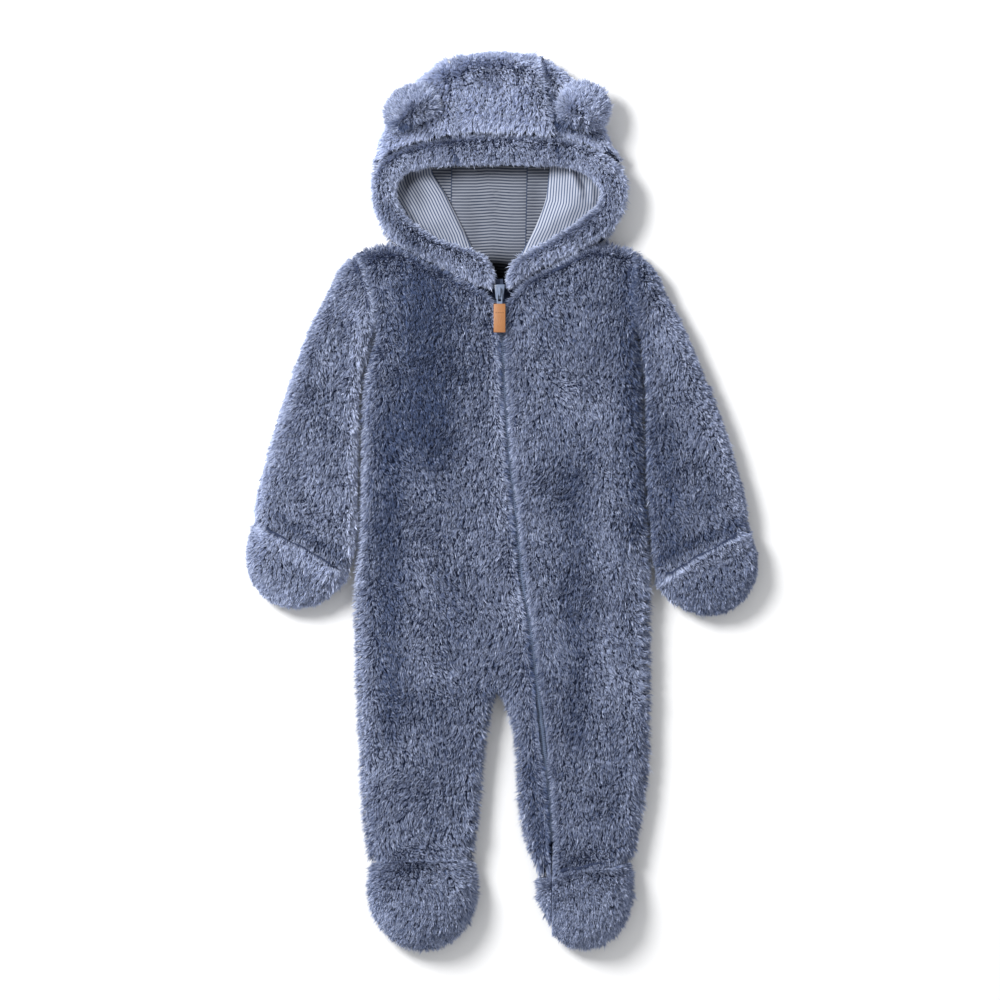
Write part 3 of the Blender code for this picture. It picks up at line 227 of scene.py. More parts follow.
# Soft noise that the tufts follow in the way they lie, their lean and their tone. Columns: length, share.
WHORLS = ((60, 0.35), (17, 0.20))
LEANING = ((50, 0.15), (12, 0.08))
CLOUDS = ((90, 0.05), (13, 0.03))

# Rise of the long strands and of the others, as shares of their tuft's.
GUARD_RISE = (1.05, 1.28)
OWN_RISE = (0.75, 1.05)

UNDERSIDE = (-0.25, 0.28)    # steepest slope that still counts as upper side, and the share of strands below
BELLY = 0.12             # how far a strand's middle stands off its chord, as a share of its rise
THIN_SHARE = 0.36        # most that the backing is set in, as a share of the piece's thickness there
THROAT_Y = 190           # height from which the brim's ends lean together, down to the zip
UPPER_LAYER = 6          # lowest Z of the suit's upper layer beside the zip
ZIP_TOP = 182            # Y up to which the pile minds the zip
ZIP_GAP = 0.4            # clear space between the pile and the slider, puller and tab
STITCH_Y = 148.8         # row of stitches across the leather tab
SEAM_LEAN = 0.02         # how far the lining's seams lean to +X for each millimetre of Y

# Middle line of the zip, from its top stop to the ankle. Columns: x, y.
ZIP = (
    (-0.4, 176.0), (-0.2, 160.0), (1.6, 130.0), (4.0, 80.0), (7.0, 36.0), (13.0, -16.0),
    (17.6, -64.0), (24.4, -104.0), (29.8, -150.0), (34.6, -195.0), (39.6, -240.0), (41.2, -275.0),
)

KEY_PLACE = (-1.25, 1.0, 1.55)    # the lamp's place, in metres
KEY_SIZE = 0.9
FLOOR_TONE = 0.80


# ---------------------------------------------------------------- settings

def a_length(name, description, default):
    """A setting in metres."""
    return FloatProperty(name=name, description=description, default=default, unit="LENGTH")


def a_number(name, description, default):
    """A setting without a unit."""
    return FloatProperty(name=name, description=description, default=default)


def a_colour(name, description, default):
    """A colour, in linear light."""
    return FloatVectorProperty(name=name, description=description, default=default, subtype="COLOR")


class PileSettings(bpy.types.PropertyGroup):
    """The pile and the knitted cloth that it is set in."""

    depth: a_length("Pile depth", "From the backing cloth to the tips of the pile", 4.5 * MM)
    backing: a_length("Backing", "Thickness of the knitted backing", 1.5 * MM)
    strand_width: a_length("Strand width", "Width of a bundle of fibres", 0.37 * MM)
    lean: a_number("Lean", "How far a strand leans for each metre that it rises", 0.70)
    tuft: a_length("Tuft pitch", "Distance between neighbouring tufts", 2.3 * MM)
    clump: a_number("Clumping", "How far a strand's tip is drawn to its tuft's tip", 0.30)
    overlap: a_length("Over seams", "How far the pile reaches over a seam", 2.8 * MM)
    guard: a_number("Long strands", "Share of strands that stand out of the pile", 0.10)
    variety: a_number("Variety", "How far neighbouring strands differ in tone", 0.20)
    tones: IntProperty(name="Tones", description="Number of tones that the strands are dyed in", default=32)
    # The roots' colour is painted shade, the dark that falls deep in the pile.
    root_shade_colour: a_colour("Roots", "Colour deep in the pile", (0.022, 0.035, 0.085))
    dark_colour: a_colour("Dark tips", "Tips of the darkest strands", (0.055, 0.090, 0.205))
    pale_colour: a_colour("Pale tips", "Tips of the palest strands", (0.70, 0.777, 1.0))


class LiningSettings(bpy.types.PropertyGroup):
    """The striped jersey inside the hood."""

    pitch: a_length("Stripe pitch", "From one stripe to the next", 2.4 * MM)
    wall: a_length("Wall", "Thickness of the jersey", 0.8 * MM)
    line: a_number("Line share", "Share of the pitch that the dark line takes", 0.40)
    pale: a_colour("Ground", "Colour between the stripes", (0.36, 0.385, 0.46))
    dark: a_colour("Line", "Colour of the stripes", (0.035, 0.050, 0.090))


class ZipSettings(bpy.types.PropertyGroup):
    """Zip, slider and pull tab."""

    tooth_pitch: a_length("Tooth pitch", "From one tooth to the next", 1.5 * MM)
    tooth_length: a_length("Tooth length", "Length of a tooth across the zip", 2.4 * MM)
    tooth_colour: a_colour("Teeth", "Colour of the coil", (0.16, 0.21, 0.33))
    tape_colour: a_colour("Tape", "Colour of the woven tape", (0.032, 0.046, 0.088))
    enamel: a_colour("Enamel", "Colour of the slider and its puller", (0.12, 0.155, 0.235))
    leather: a_colour("Leather", "Colour of the pull tab", (0.285, 0.117, 0.037))


class StageSettings(bpy.types.PropertyGroup):
    """Floor, lamps and camera."""

    width: a_length("Width in view", "Width of the floor that the picture shows", 0.8)
    distance: a_length("Camera height", "Height of the camera over the floor", 4.0)
    key: a_number("Key lamp", "Power of the lamp at the upper left", 72.0)
    sky: a_number("Room light", "Strength of the light from all round", 0.70)


class SuitSettings(bpy.types.PropertyGroup):
    """All sizes and colours of the scene."""

    pile: PointerProperty(type=PileSettings)
    lining: PointerProperty(type=LiningSettings)
    zip: PointerProperty(type=ZipSettings)
    stage: PointerProperty(type=StageSettings)


# ---------------------------------------------------------------- surfaces as arrays

def welded(name):
    """Places and triangles of a node of the frame, with doubled vertices made one."""
    mesh = FRAME["nodes"][name].data
    mesh.calc_loop_triangles()
    places = np.empty(len(mesh.vertices) * 3)
    mesh.vertices.foreach_get("co", places)
    corners = np.empty(len(mesh.loop_triangles) * 3, int)
    mesh.loop_triangles.foreach_get("vertices", corners)
    places, index = np.unique(np.round(places.reshape(-1, 3), 6), axis=0, return_inverse=True)
    faces = index.reshape(-1)[corners.reshape(-1, 3)]
    whole = (faces[:, 0] != faces[:, 1]) & (faces[:, 1] != faces[:, 2]) & (faces[:, 0] != faces[:, 2])
    return places, faces[whole]


def together(parts):
    """Several meshes as one: places and triangles."""
    places, faces, count = [], [], 0
    for more, corners in parts:
        places.append(more)
        faces.append(corners + count)
        count += len(more)
    return np.vstack(places), np.vstack(faces)


def face_normals(places, faces):
    """Normals of the faces, as long as twice their area."""
    a, b, c = (places[faces[:, i]] for i in range(3))
    return np.cross(b - a, c - a)


def unit(vectors):
    """The same vectors with length one."""
    return vectors / np.maximum(np.linalg.norm(vectors, axis=-1, keepdims=True), 1e-12)


def vertex_normals(places, faces):
    """Smooth normals at the vertices."""
    total = np.zeros_like(places)
    across = face_normals(places, faces)
    for corner in range(3):
        np.add.at(total, faces[:, corner], across)
    return unit(total)


def edge_pairs(faces):
    """Every edge once, with the number of each face's three edges among them."""
    edges = np.sort(np.vstack([faces[:, [0, 1]], faces[:, [1, 2]], faces[:, [2, 0]]]), axis=1)
    unique, index = np.unique(edges, axis=0, return_inverse=True)
    return unique, index.reshape(3, -1).T


def regions(places, faces, sharp):
    """A number for each face; faces across an edge share it unless the edge is sharp."""
    normals = unit(face_normals(places, faces))
    _, of_face = edge_pairs(faces)
    sides = {}
    for face, edges in enumerate(of_face):
        for edge in edges:
            sides.setdefault(edge, []).append(face)
    label = np.full(len(faces), -1)
    limit = math.cos(math.radians(sharp))
    number = 0
    for start in range(len(faces)):
        if label[start] >= 0:
            continue
        label[start] = number
        waiting = [start]
        while waiting:
            face = waiting.pop()
            for edge in of_face[face]:
                for other in sides[edge]:
                    if label[other] < 0 and normals[face] @ normals[other] > limit:
                        label[other] = number
                        waiting.append(other)
        number += 1
    return label


def compact(places, faces):
    """The same faces with the vertices that they don't use dropped."""
    used, index = np.unique(faces, return_inverse=True)
    return places[used], index.reshape(-1, 3)


def outer_side(name):
    """The side of a node's wall that faces out of the garment, its edge found at one of the angles."""
    places, faces = welded(name)
    across = face_normals(places, faces)
    area = np.linalg.norm(across, axis=1) / 2
    middles = places[faces].mean(axis=1)
    normals = unit(across)
    free = np.zeros(len(faces))
    for i, (middle, normal) in enumerate(zip(middles, normals)):
        hit = FRAME["walls"].ray_cast(Vector(middle + normal * 0.05 * MM), Vector(normal), 30 * MM)
        free[i] = area[i] if hit[0] is None else 0
    for sharp in RIM_ANGLES[:1] if name in STUFFED else RIM_ANGLES:
        label = regions(places, faces, sharp)
        score = np.bincount(label, weights=free)
        best = score.argmax()
        if score[best] > FREE_SHARE * area[label == best].sum():
            break
    return compact(places, faces[label == best])


def upper_side(name):
    """The side of a node's wall that faces up."""
    places, faces = welded(name)
    label = regions(places, faces, 50.0)
    score = np.bincount(label, weights=face_normals(places, faces)[:, 2])
    return compact(places, faces[label == score.argmax()])


def boundary(faces, count):
    """Which vertices lie on an open edge."""
    unique, index = edge_pairs(faces)
    uses = np.bincount(index.reshape(-1), minlength=len(unique))
    on_edge = np.zeros(count, bool)
    on_edge[unique[uses == 1].reshape(-1)] = True
    return on_edge


def halved(places, faces):
    """Each triangle cut into four."""
    unique, index = edge_pairs(faces)
    middles = places[unique].mean(axis=1)
    ab, bc, ca = (index[:, i] + len(places) for i in range(3))
    a, b, c = faces.T
    four = [(a, ab, ca), (ab, b, bc), (ca, bc, c), (ab, bc, ca)]
    return np.vstack([places, middles]), np.vstack([np.column_stack(three) for three in four])


def relaxed(places, faces, turns):
    """The surface with its facets smoothed, its open edges left where they are."""
    unique, _ = edge_pairs(faces)
    fixed = boundary(faces, len(places))
    count = np.bincount(unique.reshape(-1), minlength=len(places))[:, None]
    for turn in range(turns):
        total = np.zeros_like(places)
        np.add.at(total, unique[:, 0], places[unique[:, 1]])
        np.add.at(total, unique[:, 1], places[unique[:, 0]])
        step = total / np.maximum(count, 1) - places
        step[fixed] = 0
        places = places + step * (0.6 if turn % 2 == 0 else -0.45)
    return places


def finer(places, faces, times=2, turns=6):
    """A smooth surface through coarse triangles."""
    for _ in range(times):
        places, faces = halved(places, faces)
        places = relaxed(places, faces, turns)
    return places, faces


def creased(places, normals):
    """The surface with the soft creases of the table pressed into its upper side."""
    moved = places.copy()
    for *run, rise in CREASES:
        moved[:, 2] += rise * MM * near_run(*run, places) * (normals[:, 2] > 0.3)
    return moved


def distance_along(line, places):
    """Distance of each place from a line of X and Y, in metres."""
    line = np.array(line) * MM
    best = np.full(len(places), np.inf)
    for start, end in zip(line[:-1], line[1:]):
        run = end - start
        t = np.clip((places[:, :2] - start) @ run / (run @ run), 0, 1)
        best = np.minimum(best, np.linalg.norm(places[:, :2] - start - t[:, None] * run, axis=1))
    return best


def near_run(x0, y0, x1, y1, width, places):
    """How near the places are to a straight run of X and Y: one on it, and less over its width."""
    return np.exp(-(distance_along(((x0, y0), (x1, y1)), places) / (width * MM)) ** 2)


class Waves:
    """Smooth noise from a few random waves, between about -1 and 1."""

    def __init__(self, rng, length, count=24):
        ways = unit(rng.normal(size=(count, 3)))
        self.waves = ways * (2 * math.pi / length) * rng.uniform(0.6, 1.5, (count, 1))
        self.phases = rng.uniform(0, 2 * math.pi, count)

    def at(self, places):
        """The noise at the places."""
        return np.sin(places @ self.waves.T + self.phases).sum(axis=1) / math.sqrt(len(self.phases)) * 0.9


def blended(rng, places, waves, start=0.0):
    """Noise of a few lengths added up at the places."""
    return sum((share * Waves(rng, length * MM).at(places) for length, share in waves), start)


# ---------------------------------------------------------------- meshes and materials

def placed(name, mesh, body, material):
    """An object of the mesh, at the origin, that moves with a body of the frame."""
    mesh.materials.append(material)
    made = bpy.data.objects.new(name, mesh)
    bpy.context.scene.collection.objects.link(made)
    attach(made, body)
    return made


def mesh_object(name, places, faces, body, material, smooth=True):
    """An object of places and triangles."""
    mesh = bpy.data.meshes.new(name)
    mesh.from_pydata(places.tolist(), [], faces.tolist())
    mesh.polygons.foreach_set("use_smooth", [smooth] * len(mesh.polygons))
    return placed(name, mesh, body, material)


def blades_object(name, roots, sides, tips, across, body, material):
    """Strands as slender triangles, with a map of tone across and root to tip along."""
    count = len(roots)
    places = np.stack([roots, sides, tips], axis=1).reshape(-1, 3)
    mesh = bpy.data.meshes.new(name)
    mesh.vertices.add(count * 3)
    mesh.vertices.foreach_set("co", places.reshape(-1))
    mesh.loops.add(count * 3)
    mesh.loops.foreach_set("vertex_index", np.arange(count * 3, dtype=np.int32))
    mesh.polygons.add(count)
    mesh.polygons.foreach_set("loop_start", np.arange(0, count * 3, 3, dtype=np.int32))
    mesh.update(calc_edges=True)
    tone, half = across
    along = np.tile((0.0, 0.5 * STRIP, STRIP), (count, 1))
    sideways = np.column_stack([tone - half, tone + half, tone - half])
    at_corner = np.stack([sideways, along], axis=2).astype(np.float32).reshape(-1)
    for layer in ("Strand", "OFBake"):
        mesh.uv_layers.new(name=layer).data.foreach_set("uv", at_corner)
    return placed(name, mesh, body, material)


def new_material(name):
    """A material, its node tree and its shader."""
    made = bpy.data.materials.new(name)
    made.use_nodes = True
    tree = made.node_tree
    return made, tree, tree.nodes["Principled BSDF"]


def feed(tree, socket, given):
    """Gives a socket a link, a number or a colour."""
    if isinstance(given, bpy.types.NodeSocket):
        tree.links.new(given, socket)
    elif isinstance(given, (int, float)):
        socket.default_value = given
    else:
        socket.default_value = (*given, 1.0)


def look(tree, shader, **inputs):
    """Feeds a shader's inputs, an underline in a name standing for a space."""
    for name, given in inputs.items():
        feed(tree, shader.inputs[name.replace("_", " ")], given)


def maths(tree, operation, first, second=None):
    """A Math node on sockets or numbers."""
    node = tree.nodes.new("ShaderNodeMath")
    node.operation = operation
    feed(tree, node.inputs[0], first)
    if second is not None:
        feed(tree, node.inputs[1], second)
    return node.outputs[0]


def mixed(tree, share, first, second, blend="MIX"):
    """A colour mix of sockets or colours."""
    node = tree.nodes.new("ShaderNodeMix")
    node.data_type = "RGBA"
    node.blend_type = blend
    for number, given in ((0, share), (6, first), (7, second)):
        feed(tree, node.inputs[number], given)
    return node.outputs[2]


def clouded(tree, share, colour, dark, pale):
    """A colour between a darker and a paler shade of itself."""
    return mixed(tree, share, [c * dark for c in colour], [min(1.0, c * pale) for c in colour])


def texture(tree, kind, scale, **inputs):
    """A procedural texture on Object coordinates."""
    node = tree.nodes.new("ShaderNodeTex" + kind)
    tree.links.new(tree.nodes.new("ShaderNodeTexCoord").outputs["Object"], node.inputs["Vector"])
    look(tree, node, Scale=scale, **inputs)
    return node


def uv_parts(tree, name):
    """The two numbers of a UV map."""
    uv = tree.nodes.new("ShaderNodeUVMap")
    uv.uv_map = name
    parts = tree.nodes.new("ShaderNodeSeparateXYZ")
    tree.links.new(uv.outputs[0], parts.inputs[0])
    return parts.outputs["X"], parts.outputs["Y"]


def bump(tree, shader, height, strength, distance):
    """A Bump node into the shader's normal."""
    node = tree.nodes.new("ShaderNodeBump")
    look(tree, node, Strength=strength, Distance=distance, Height=height)
    tree.links.new(node.outputs[0], shader.inputs["Normal"])


def pile_group(settings):
    """Node group: a strand's colour from its tone and the place along it, painted shade darkening it towards the
    root.
    """
    group = bpy.data.node_groups.new("Strand colour", "ShaderNodeTree")
    for name in ("Tone", "Along"):
        group.interface.new_socket(name, in_out="INPUT", socket_type="NodeSocketFloat")
    group.interface.new_socket("Colour", in_out="OUTPUT", socket_type="NodeSocketColor")
    given = group.nodes.new("NodeGroupInput")
    out = group.nodes.new("NodeGroupOutput")
    tip = mixed(group, given.outputs["Tone"], settings.dark_colour, settings.pale_colour)
    # Painted shade: from the tip's tone down to the roots' dark colour, as shade deepens into the pile.
    rise = maths(group, "POWER", given.outputs["Along"], 0.65)
    look(group, out, Colour=mixed(group, rise, settings.root_shade_colour, tip))
    return group


def strand_material(settings):
    """Fibre dyed from dark to pale tips, with painted shade darkening it towards the root and a soft sheen."""
    made, tree, shader = new_material("Pile strand")
    tone, along = uv_parts(tree, "Strand")
    group = tree.nodes.new("ShaderNodeGroup")
    group.node_tree = pile_group(settings)
    look(tree, group, Tone=tone, Along=maths(tree, "DIVIDE", along, STRIP))
    look(tree, shader, Base_Color=group.outputs[0], Roughness=0.75, Specular_IOR_Level=0.35,
         Sheen_Weight=0.25, Sheen_Roughness=0.5, Sheen_Tint=(0.7, 0.78, 1.0))
    return made


def backing_material(settings):
    """The knitted backing, seen only between the strands, in painted shade: coloured as dark as the shade deep in
    the pile.
    """
    made, tree, shader = new_material("Backing in painted shade")
    knit = texture(tree, "Voronoi", 900.0).outputs["Distance"]
    shade = maths(tree, "MULTIPLY", knit, 0.9)
    look(tree, shader, Base_Color=clouded(tree, shade, settings.root_shade_colour, 0.6, 1.0), Roughness=0.95)
    bump(tree, shader, knit, 0.6, 0.6 * MM)
    return made


# ---------------------------------------------------------------- cloth with pile

def all_walls():
    """A tree of every node's faces, for finding which side of a wall is outside."""
    places, faces = together([welded(name) for name in FRAME["nodes"]])
    return BVHTree.FromPolygons(places.tolist(), faces.tolist())


def scattered(places, faces, count, rng, weight):
    """Random places on a surface: the face of each and its three shares of the corners."""
    area = np.linalg.norm(face_normals(places, faces), axis=1) * weight
    chosen = np.searchsorted(np.cumsum(area) / area.sum(), rng.random(count))
    chosen = np.minimum(chosen, len(faces) - 1)
    first, second = rng.random(count), rng.random(count)
    over = first + second > 1
    first[over], second[over] = 1 - first[over], 1 - second[over]
    return chosen, np.column_stack([1 - first - second, first, second])


def at_shares(values, faces, chosen, shares):
    """Values of the vertices read at scattered places."""
    return (values[faces[chosen]] * shares[:, :, None]).sum(axis=1)


def turned(vectors, angles):
    """Vectors turned about +Z."""
    c, s = np.cos(angles), np.sin(angles)
    x, y = vectors[:, 0], vectors[:, 1]
    return np.column_stack([c * x - s * y, s * x + c * y, vectors[:, 2]])


def nearest_of(centres, places):
    """Which centre each place is nearest to."""
    tree = KDTree(len(centres))
    for i, centre in enumerate(centres):
        tree.insert(centre, i)
    tree.balance()
    return np.array([tree.find(place)[1] for place in places])


def painted_light_fields(places):
    """Painted light and shade (tone) and turn of the broad patches at the places."""
    tone = np.zeros(len(places))
    turn = np.zeros(len(places))
    for *run, shade, angle in PAINTED_LIGHT_PATCHES:
        near = near_run(*run, places)
        tone += shade * near
        turn += math.radians(angle) * near
    return tone, turn


def zip_x(y):
    """X of the zip's middle at each Y, in metres."""
    line = np.array(ZIP)[::-1] * MM
    return np.interp(y, line[:, 1], line[:, 0])


def by_zip(places, aside, reach):
    """Which places are on the upper layer beside the zip, no further from it than the reach."""
    return (places[:, 2] > UPPER_LAYER * MM) & (places[:, 1] < ZIP_TOP * MM) & (aside < reach * MM)


def parted(places, roots, rng):
    """Places beside the zip, kept to the side of their roots and drawn back where the zip shows."""
    moved = places.copy()
    middle = zip_x(places[:, 1])
    side = np.sign(roots[:, 0] - zip_x(roots[:, 1]))
    aside = (places[:, 0] - middle) * side
    near = by_zip(places, aside, 12)
    y = places[:, 1] / MM
    for top, low, clear in ZIP_SHOWS:
        share = np.clip(np.minimum(top - y, y - low) / 14.0 + 0.4, 0, 1) * near
        limit = clear * MM * share * rng.uniform(0.55, 1.1, len(places))
        short = near & (aside < limit)
        moved[short, 0] = (middle + side * limit)[short]
    return moved


def reached(tips, roots):
    """Tips moved at the few places where the pile reaches over the end of a seam."""
    moved = tips.copy()
    for x, y, radius, right, up in REACHES:
        away = (roots[:, :2] / MM - (x, y)) / radius
        moved[:, :2] += np.exp(-(away ** 2).sum(axis=1))[:, None] * np.array((right, up)) * MM
    return moved


def under_hardware(places):
    """Tips pressed down under the slider and its pull tab."""
    moved = places.copy()
    gap = ZIP_GAP * MM
    for name in ("zip_slider", "zip_puller", "zip_tab"):
        low, high = (np.array(corner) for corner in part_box(name))
        within = ((places[:, :2] > low[:2] - gap) & (places[:, :2] < high[:2] + gap)).all(axis=1)
        moved[within, 2] = np.minimum(moved[within, 2], low[2] - gap)
    return moved


def tufted(name, places, faces, normals, rng, settings):
    """Where a piece's tufts stand and end, which way they lie, how far and how high, and their tone."""
    _, brush_x, brush_y, tone, puff = PILE[name][:5]
    area = np.linalg.norm(face_normals(places, faces), axis=1).sum() / 2
    count = max(40, int(area / settings.tuft ** 2))
    chosen, shares = scattered(places, faces, count, rng, np.ones(len(faces)))
    centres = at_shares(places, faces, chosen, shares)
    normals = unit(at_shares(normals, faces, chosen, shares))
    painted_light_tone, patch_turn = painted_light_fields(centres)
    angle = blended(rng, centres, WHORLS) + patch_turn + rng.normal(0, 0.22, count)
    brush = turned(np.tile(unit(np.array([brush_x, brush_y, 0.0])), (count, 1)), angle)
    if puff > 0.5:
        base = centres.mean(axis=0) - (math.copysign(4 * MM, centres[:, 0].mean()), 11 * MM, 0)
        fan = unit((centres - base) * (1, 1, 0.3) + rng.normal(0, 0.005, (count, 3)))
        brush = unit(fan * 0.8 + brush)
    along = brush - normals * (brush * normals).sum(axis=1, keepdims=True)
    lean = settings.lean * (1 - 0.5 * puff) * blended(rng, centres, LEANING, 1.0)
    lean = np.clip(lean + rng.normal(0, 0.12, count), 0.1, 1.8)
    rise = settings.depth * (1 + rng.normal(0.0, 0.15, count))
    # A tuft's tone: the piece's tone, the patches' painted light and shade, random clouds, random variety, and a
    # painted sheen that makes tufts lying flatter paler.
    shade = tone + painted_light_tone + blended(rng, centres, CLOUDS) + 0.10 * (lean - 0.9) + rng.normal(0, 0.06, count)
    tips = centres + normals * (rise - settings.depth)[:, None] + along * (lean * rise)[:, None]
    return centres, tips, along, lean, rise, shade


def pulled(tips, middle, share):
    """Tips drawn sideways to the middle by a share of the way."""
    moved = tips.copy()
    moved[:, 0] += (middle - moved[:, 0]) * share
    return moved


def over_zip(roots, tips, rng):
    """Tips beside the zip, bent over it so that the pile closes."""
    middle = zip_x(roots[:, 1])
    aside = roots[:, 0] - middle
    reach = np.clip(1 - (np.abs(aside) - 2.0 * MM) / (4.5 * MM), 0, 1)
    share = reach * by_zip(roots, np.abs(aside), 8) * rng.uniform(0.3, 1.0, len(roots))
    return pulled(tips, middle + np.copysign(0.2 * MM, aside), share)


def at_throat(roots, tips, rng):
    """Tips at the two ends of the brim, leaning to each other over the top of the zip."""
    reach = np.clip(1 - (np.abs(roots[:, 0]) - 5 * MM) / (9 * MM), 0, 1)
    low = np.clip((THROAT_Y * MM - roots[:, 1]) / (14 * MM), 0, 1)
    return pulled(tips, 0.0, reach * low * rng.uniform(0.3, 1.0, len(roots)))


def over_seams(roots, tips, places, faces, rng, settings):
    """Tips beside a seam, bent over it."""
    edge = places[boundary(faces, len(places))]
    if not len(edge):
        return tips
    nearest = edge[nearest_of(edge, roots)]
    away = nearest - roots
    distance = np.linalg.norm(away, axis=1, keepdims=True)
    share = np.clip(1 - (distance - settings.depth) / (5 * MM), 0, 1) * rng.uniform(0.1, 1.2, (len(roots), 1))
    way = away * (1, 1, 0.2)
    return tips + unit(way) * share * settings.overlap


def make_strands(name, places, faces, deep, material, settings, seed):
    """The pile of one piece, rooted in its backing and brushed as the table says."""
    rng = np.random.default_rng(seed)
    normals = vertex_normals(places, faces)
    slope = unit(face_normals(places, faces))[:, 2]
    weight = np.where(slope > UNDERSIDE[0], 1.0, UNDERSIDE[1])
    count = int(PILE[name][0] * 1000)
    chosen, shares = scattered(places, faces, count, rng, weight)
    on_top = at_shares(places, faces, chosen, shares)
    normal = unit(at_shares(normals, faces, chosen, shares))
    local = at_shares(deep[:, None], faces, chosen, shares)[:, 0]
    roots = on_top - normal * local[:, None]

    centres, tuft_tips, along, lean, rise, shade = tufted(name, places, faces, normals, rng, settings)
    of_tuft = nearest_of(centres, on_top)
    guard = rng.random(count) < settings.guard
    own_rise = rise[of_tuft] * np.where(guard, rng.uniform(*GUARD_RISE, count), rng.uniform(*OWN_RISE, count))
    own_rise *= np.clip(local / settings.depth, 0.35, 1.0)
    own_along = along[of_tuft] + rng.normal(0, 0.22, (count, 3))
    own_along -= normal * (own_along * normal).sum(axis=1, keepdims=True)
    own_lean = np.clip(lean[of_tuft] + rng.normal(0, 0.15, count), 0.05, 2.0) * own_rise
    tips = roots + normal * own_rise[:, None] + own_along * own_lean[:, None]
    draw = settings.clump * rng.uniform(0.6, 1.2, (count, 1)) * ~guard[:, None]
    tips += (tuft_tips[of_tuft] - tips) * draw
    tips = over_zip(roots, over_seams(roots, tips, places, faces, rng, settings), rng)
    if name == "hood_brim":
        tips = at_throat(roots, tips, rng)
    tips = under_hardware(parted(reached(tips, roots), roots, rng))
    middles = roots + (tips - roots) * 0.5 + normal * (own_rise * BELLY)[:, None]
    middles += rng.normal(0, 0.12 * MM, (count, 3))
    tips[:, 2] = np.maximum(tips[:, 2], 0.2 * MM)
    middles[:, 2] = np.maximum(middles[:, 2], 0.3 * MM)

    across = unit(np.cross(tips - roots, normal + rng.normal(0, 0.30, (count, 3))))
    across *= rng.choice((-1.0, 1.0), (count, 1))
    half = settings.strand_width * np.where(guard, 0.75, 1.15) * rng.uniform(0.7, 1.3, count)
    own_shade = shade[of_tuft] + rng.normal(0, settings.variety, count) + np.where(guard, 0.15, -0.02)
    own_shade = np.clip(own_shade, 0.02, 0.98)
    column = (np.floor(own_shade * settings.tones) + 0.5) / settings.tones
    sides = parted(middles + across * half[:, None], roots, rng)
    return blades_object("pile_" + name, roots, sides, tips, (column, 0.45 / settings.tones), "suit", material)


def insets(places, faces, normals, depth):
    """How deep the backing lies under each vertex: the pile's depth, or less where the piece is thin."""
    tree = BVHTree.FromPolygons(places.tolist(), faces.tolist())
    found = np.full(len(places), depth)
    for i, (place, normal) in enumerate(zip(places, normals)):
        hit = tree.ray_cast(Vector(place - normal * 0.3 * MM), Vector(-normal), 3 * depth)
        if hit[0] is not None:
            found[i] = min(depth, THIN_SHARE * (hit[3] + 0.3 * MM))
    for _ in range(3):
        around = np.bincount(faces.ravel(), np.repeat(found[faces].min(axis=1), 3), len(places))
        found = np.minimum(found, around / np.maximum(np.bincount(faces.ravel(), minlength=len(places)), 1))
    return found


def make_cloth(names, settings):
    """Backing and pile of the named nodes."""
    backing = bpy.data.materials.get("Backing in painted shade") or backing_material(settings)
    strands = bpy.data.materials.get("Pile strand") or strand_material(settings)
    for name in names:
        places, faces = finer(*outer_side(name))
        places = creased(places, vertex_normals(places, faces))
        seed = 1000 + sorted(PILE).index(name)
        normals = vertex_normals(places, faces)
        deep = insets(places, faces, normals, settings.depth)
        pile = make_strands(name, places, faces, deep, strands, settings, seed)
        shell = mesh_object(name + "_cloth", places - normals * deep[:, None], faces, "suit", backing)
        thicken(shell, "Backing", settings.backing)
        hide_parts(name)


def thicken(obj, label, wall):
    """Gives a one-sided cloth its wall, on the side away from its normals."""
    solid = obj.modifiers.new(label, "SOLIDIFY")
    solid.thickness = wall
    solid.offset = -1


# ---------------------------------------------------------------- lining

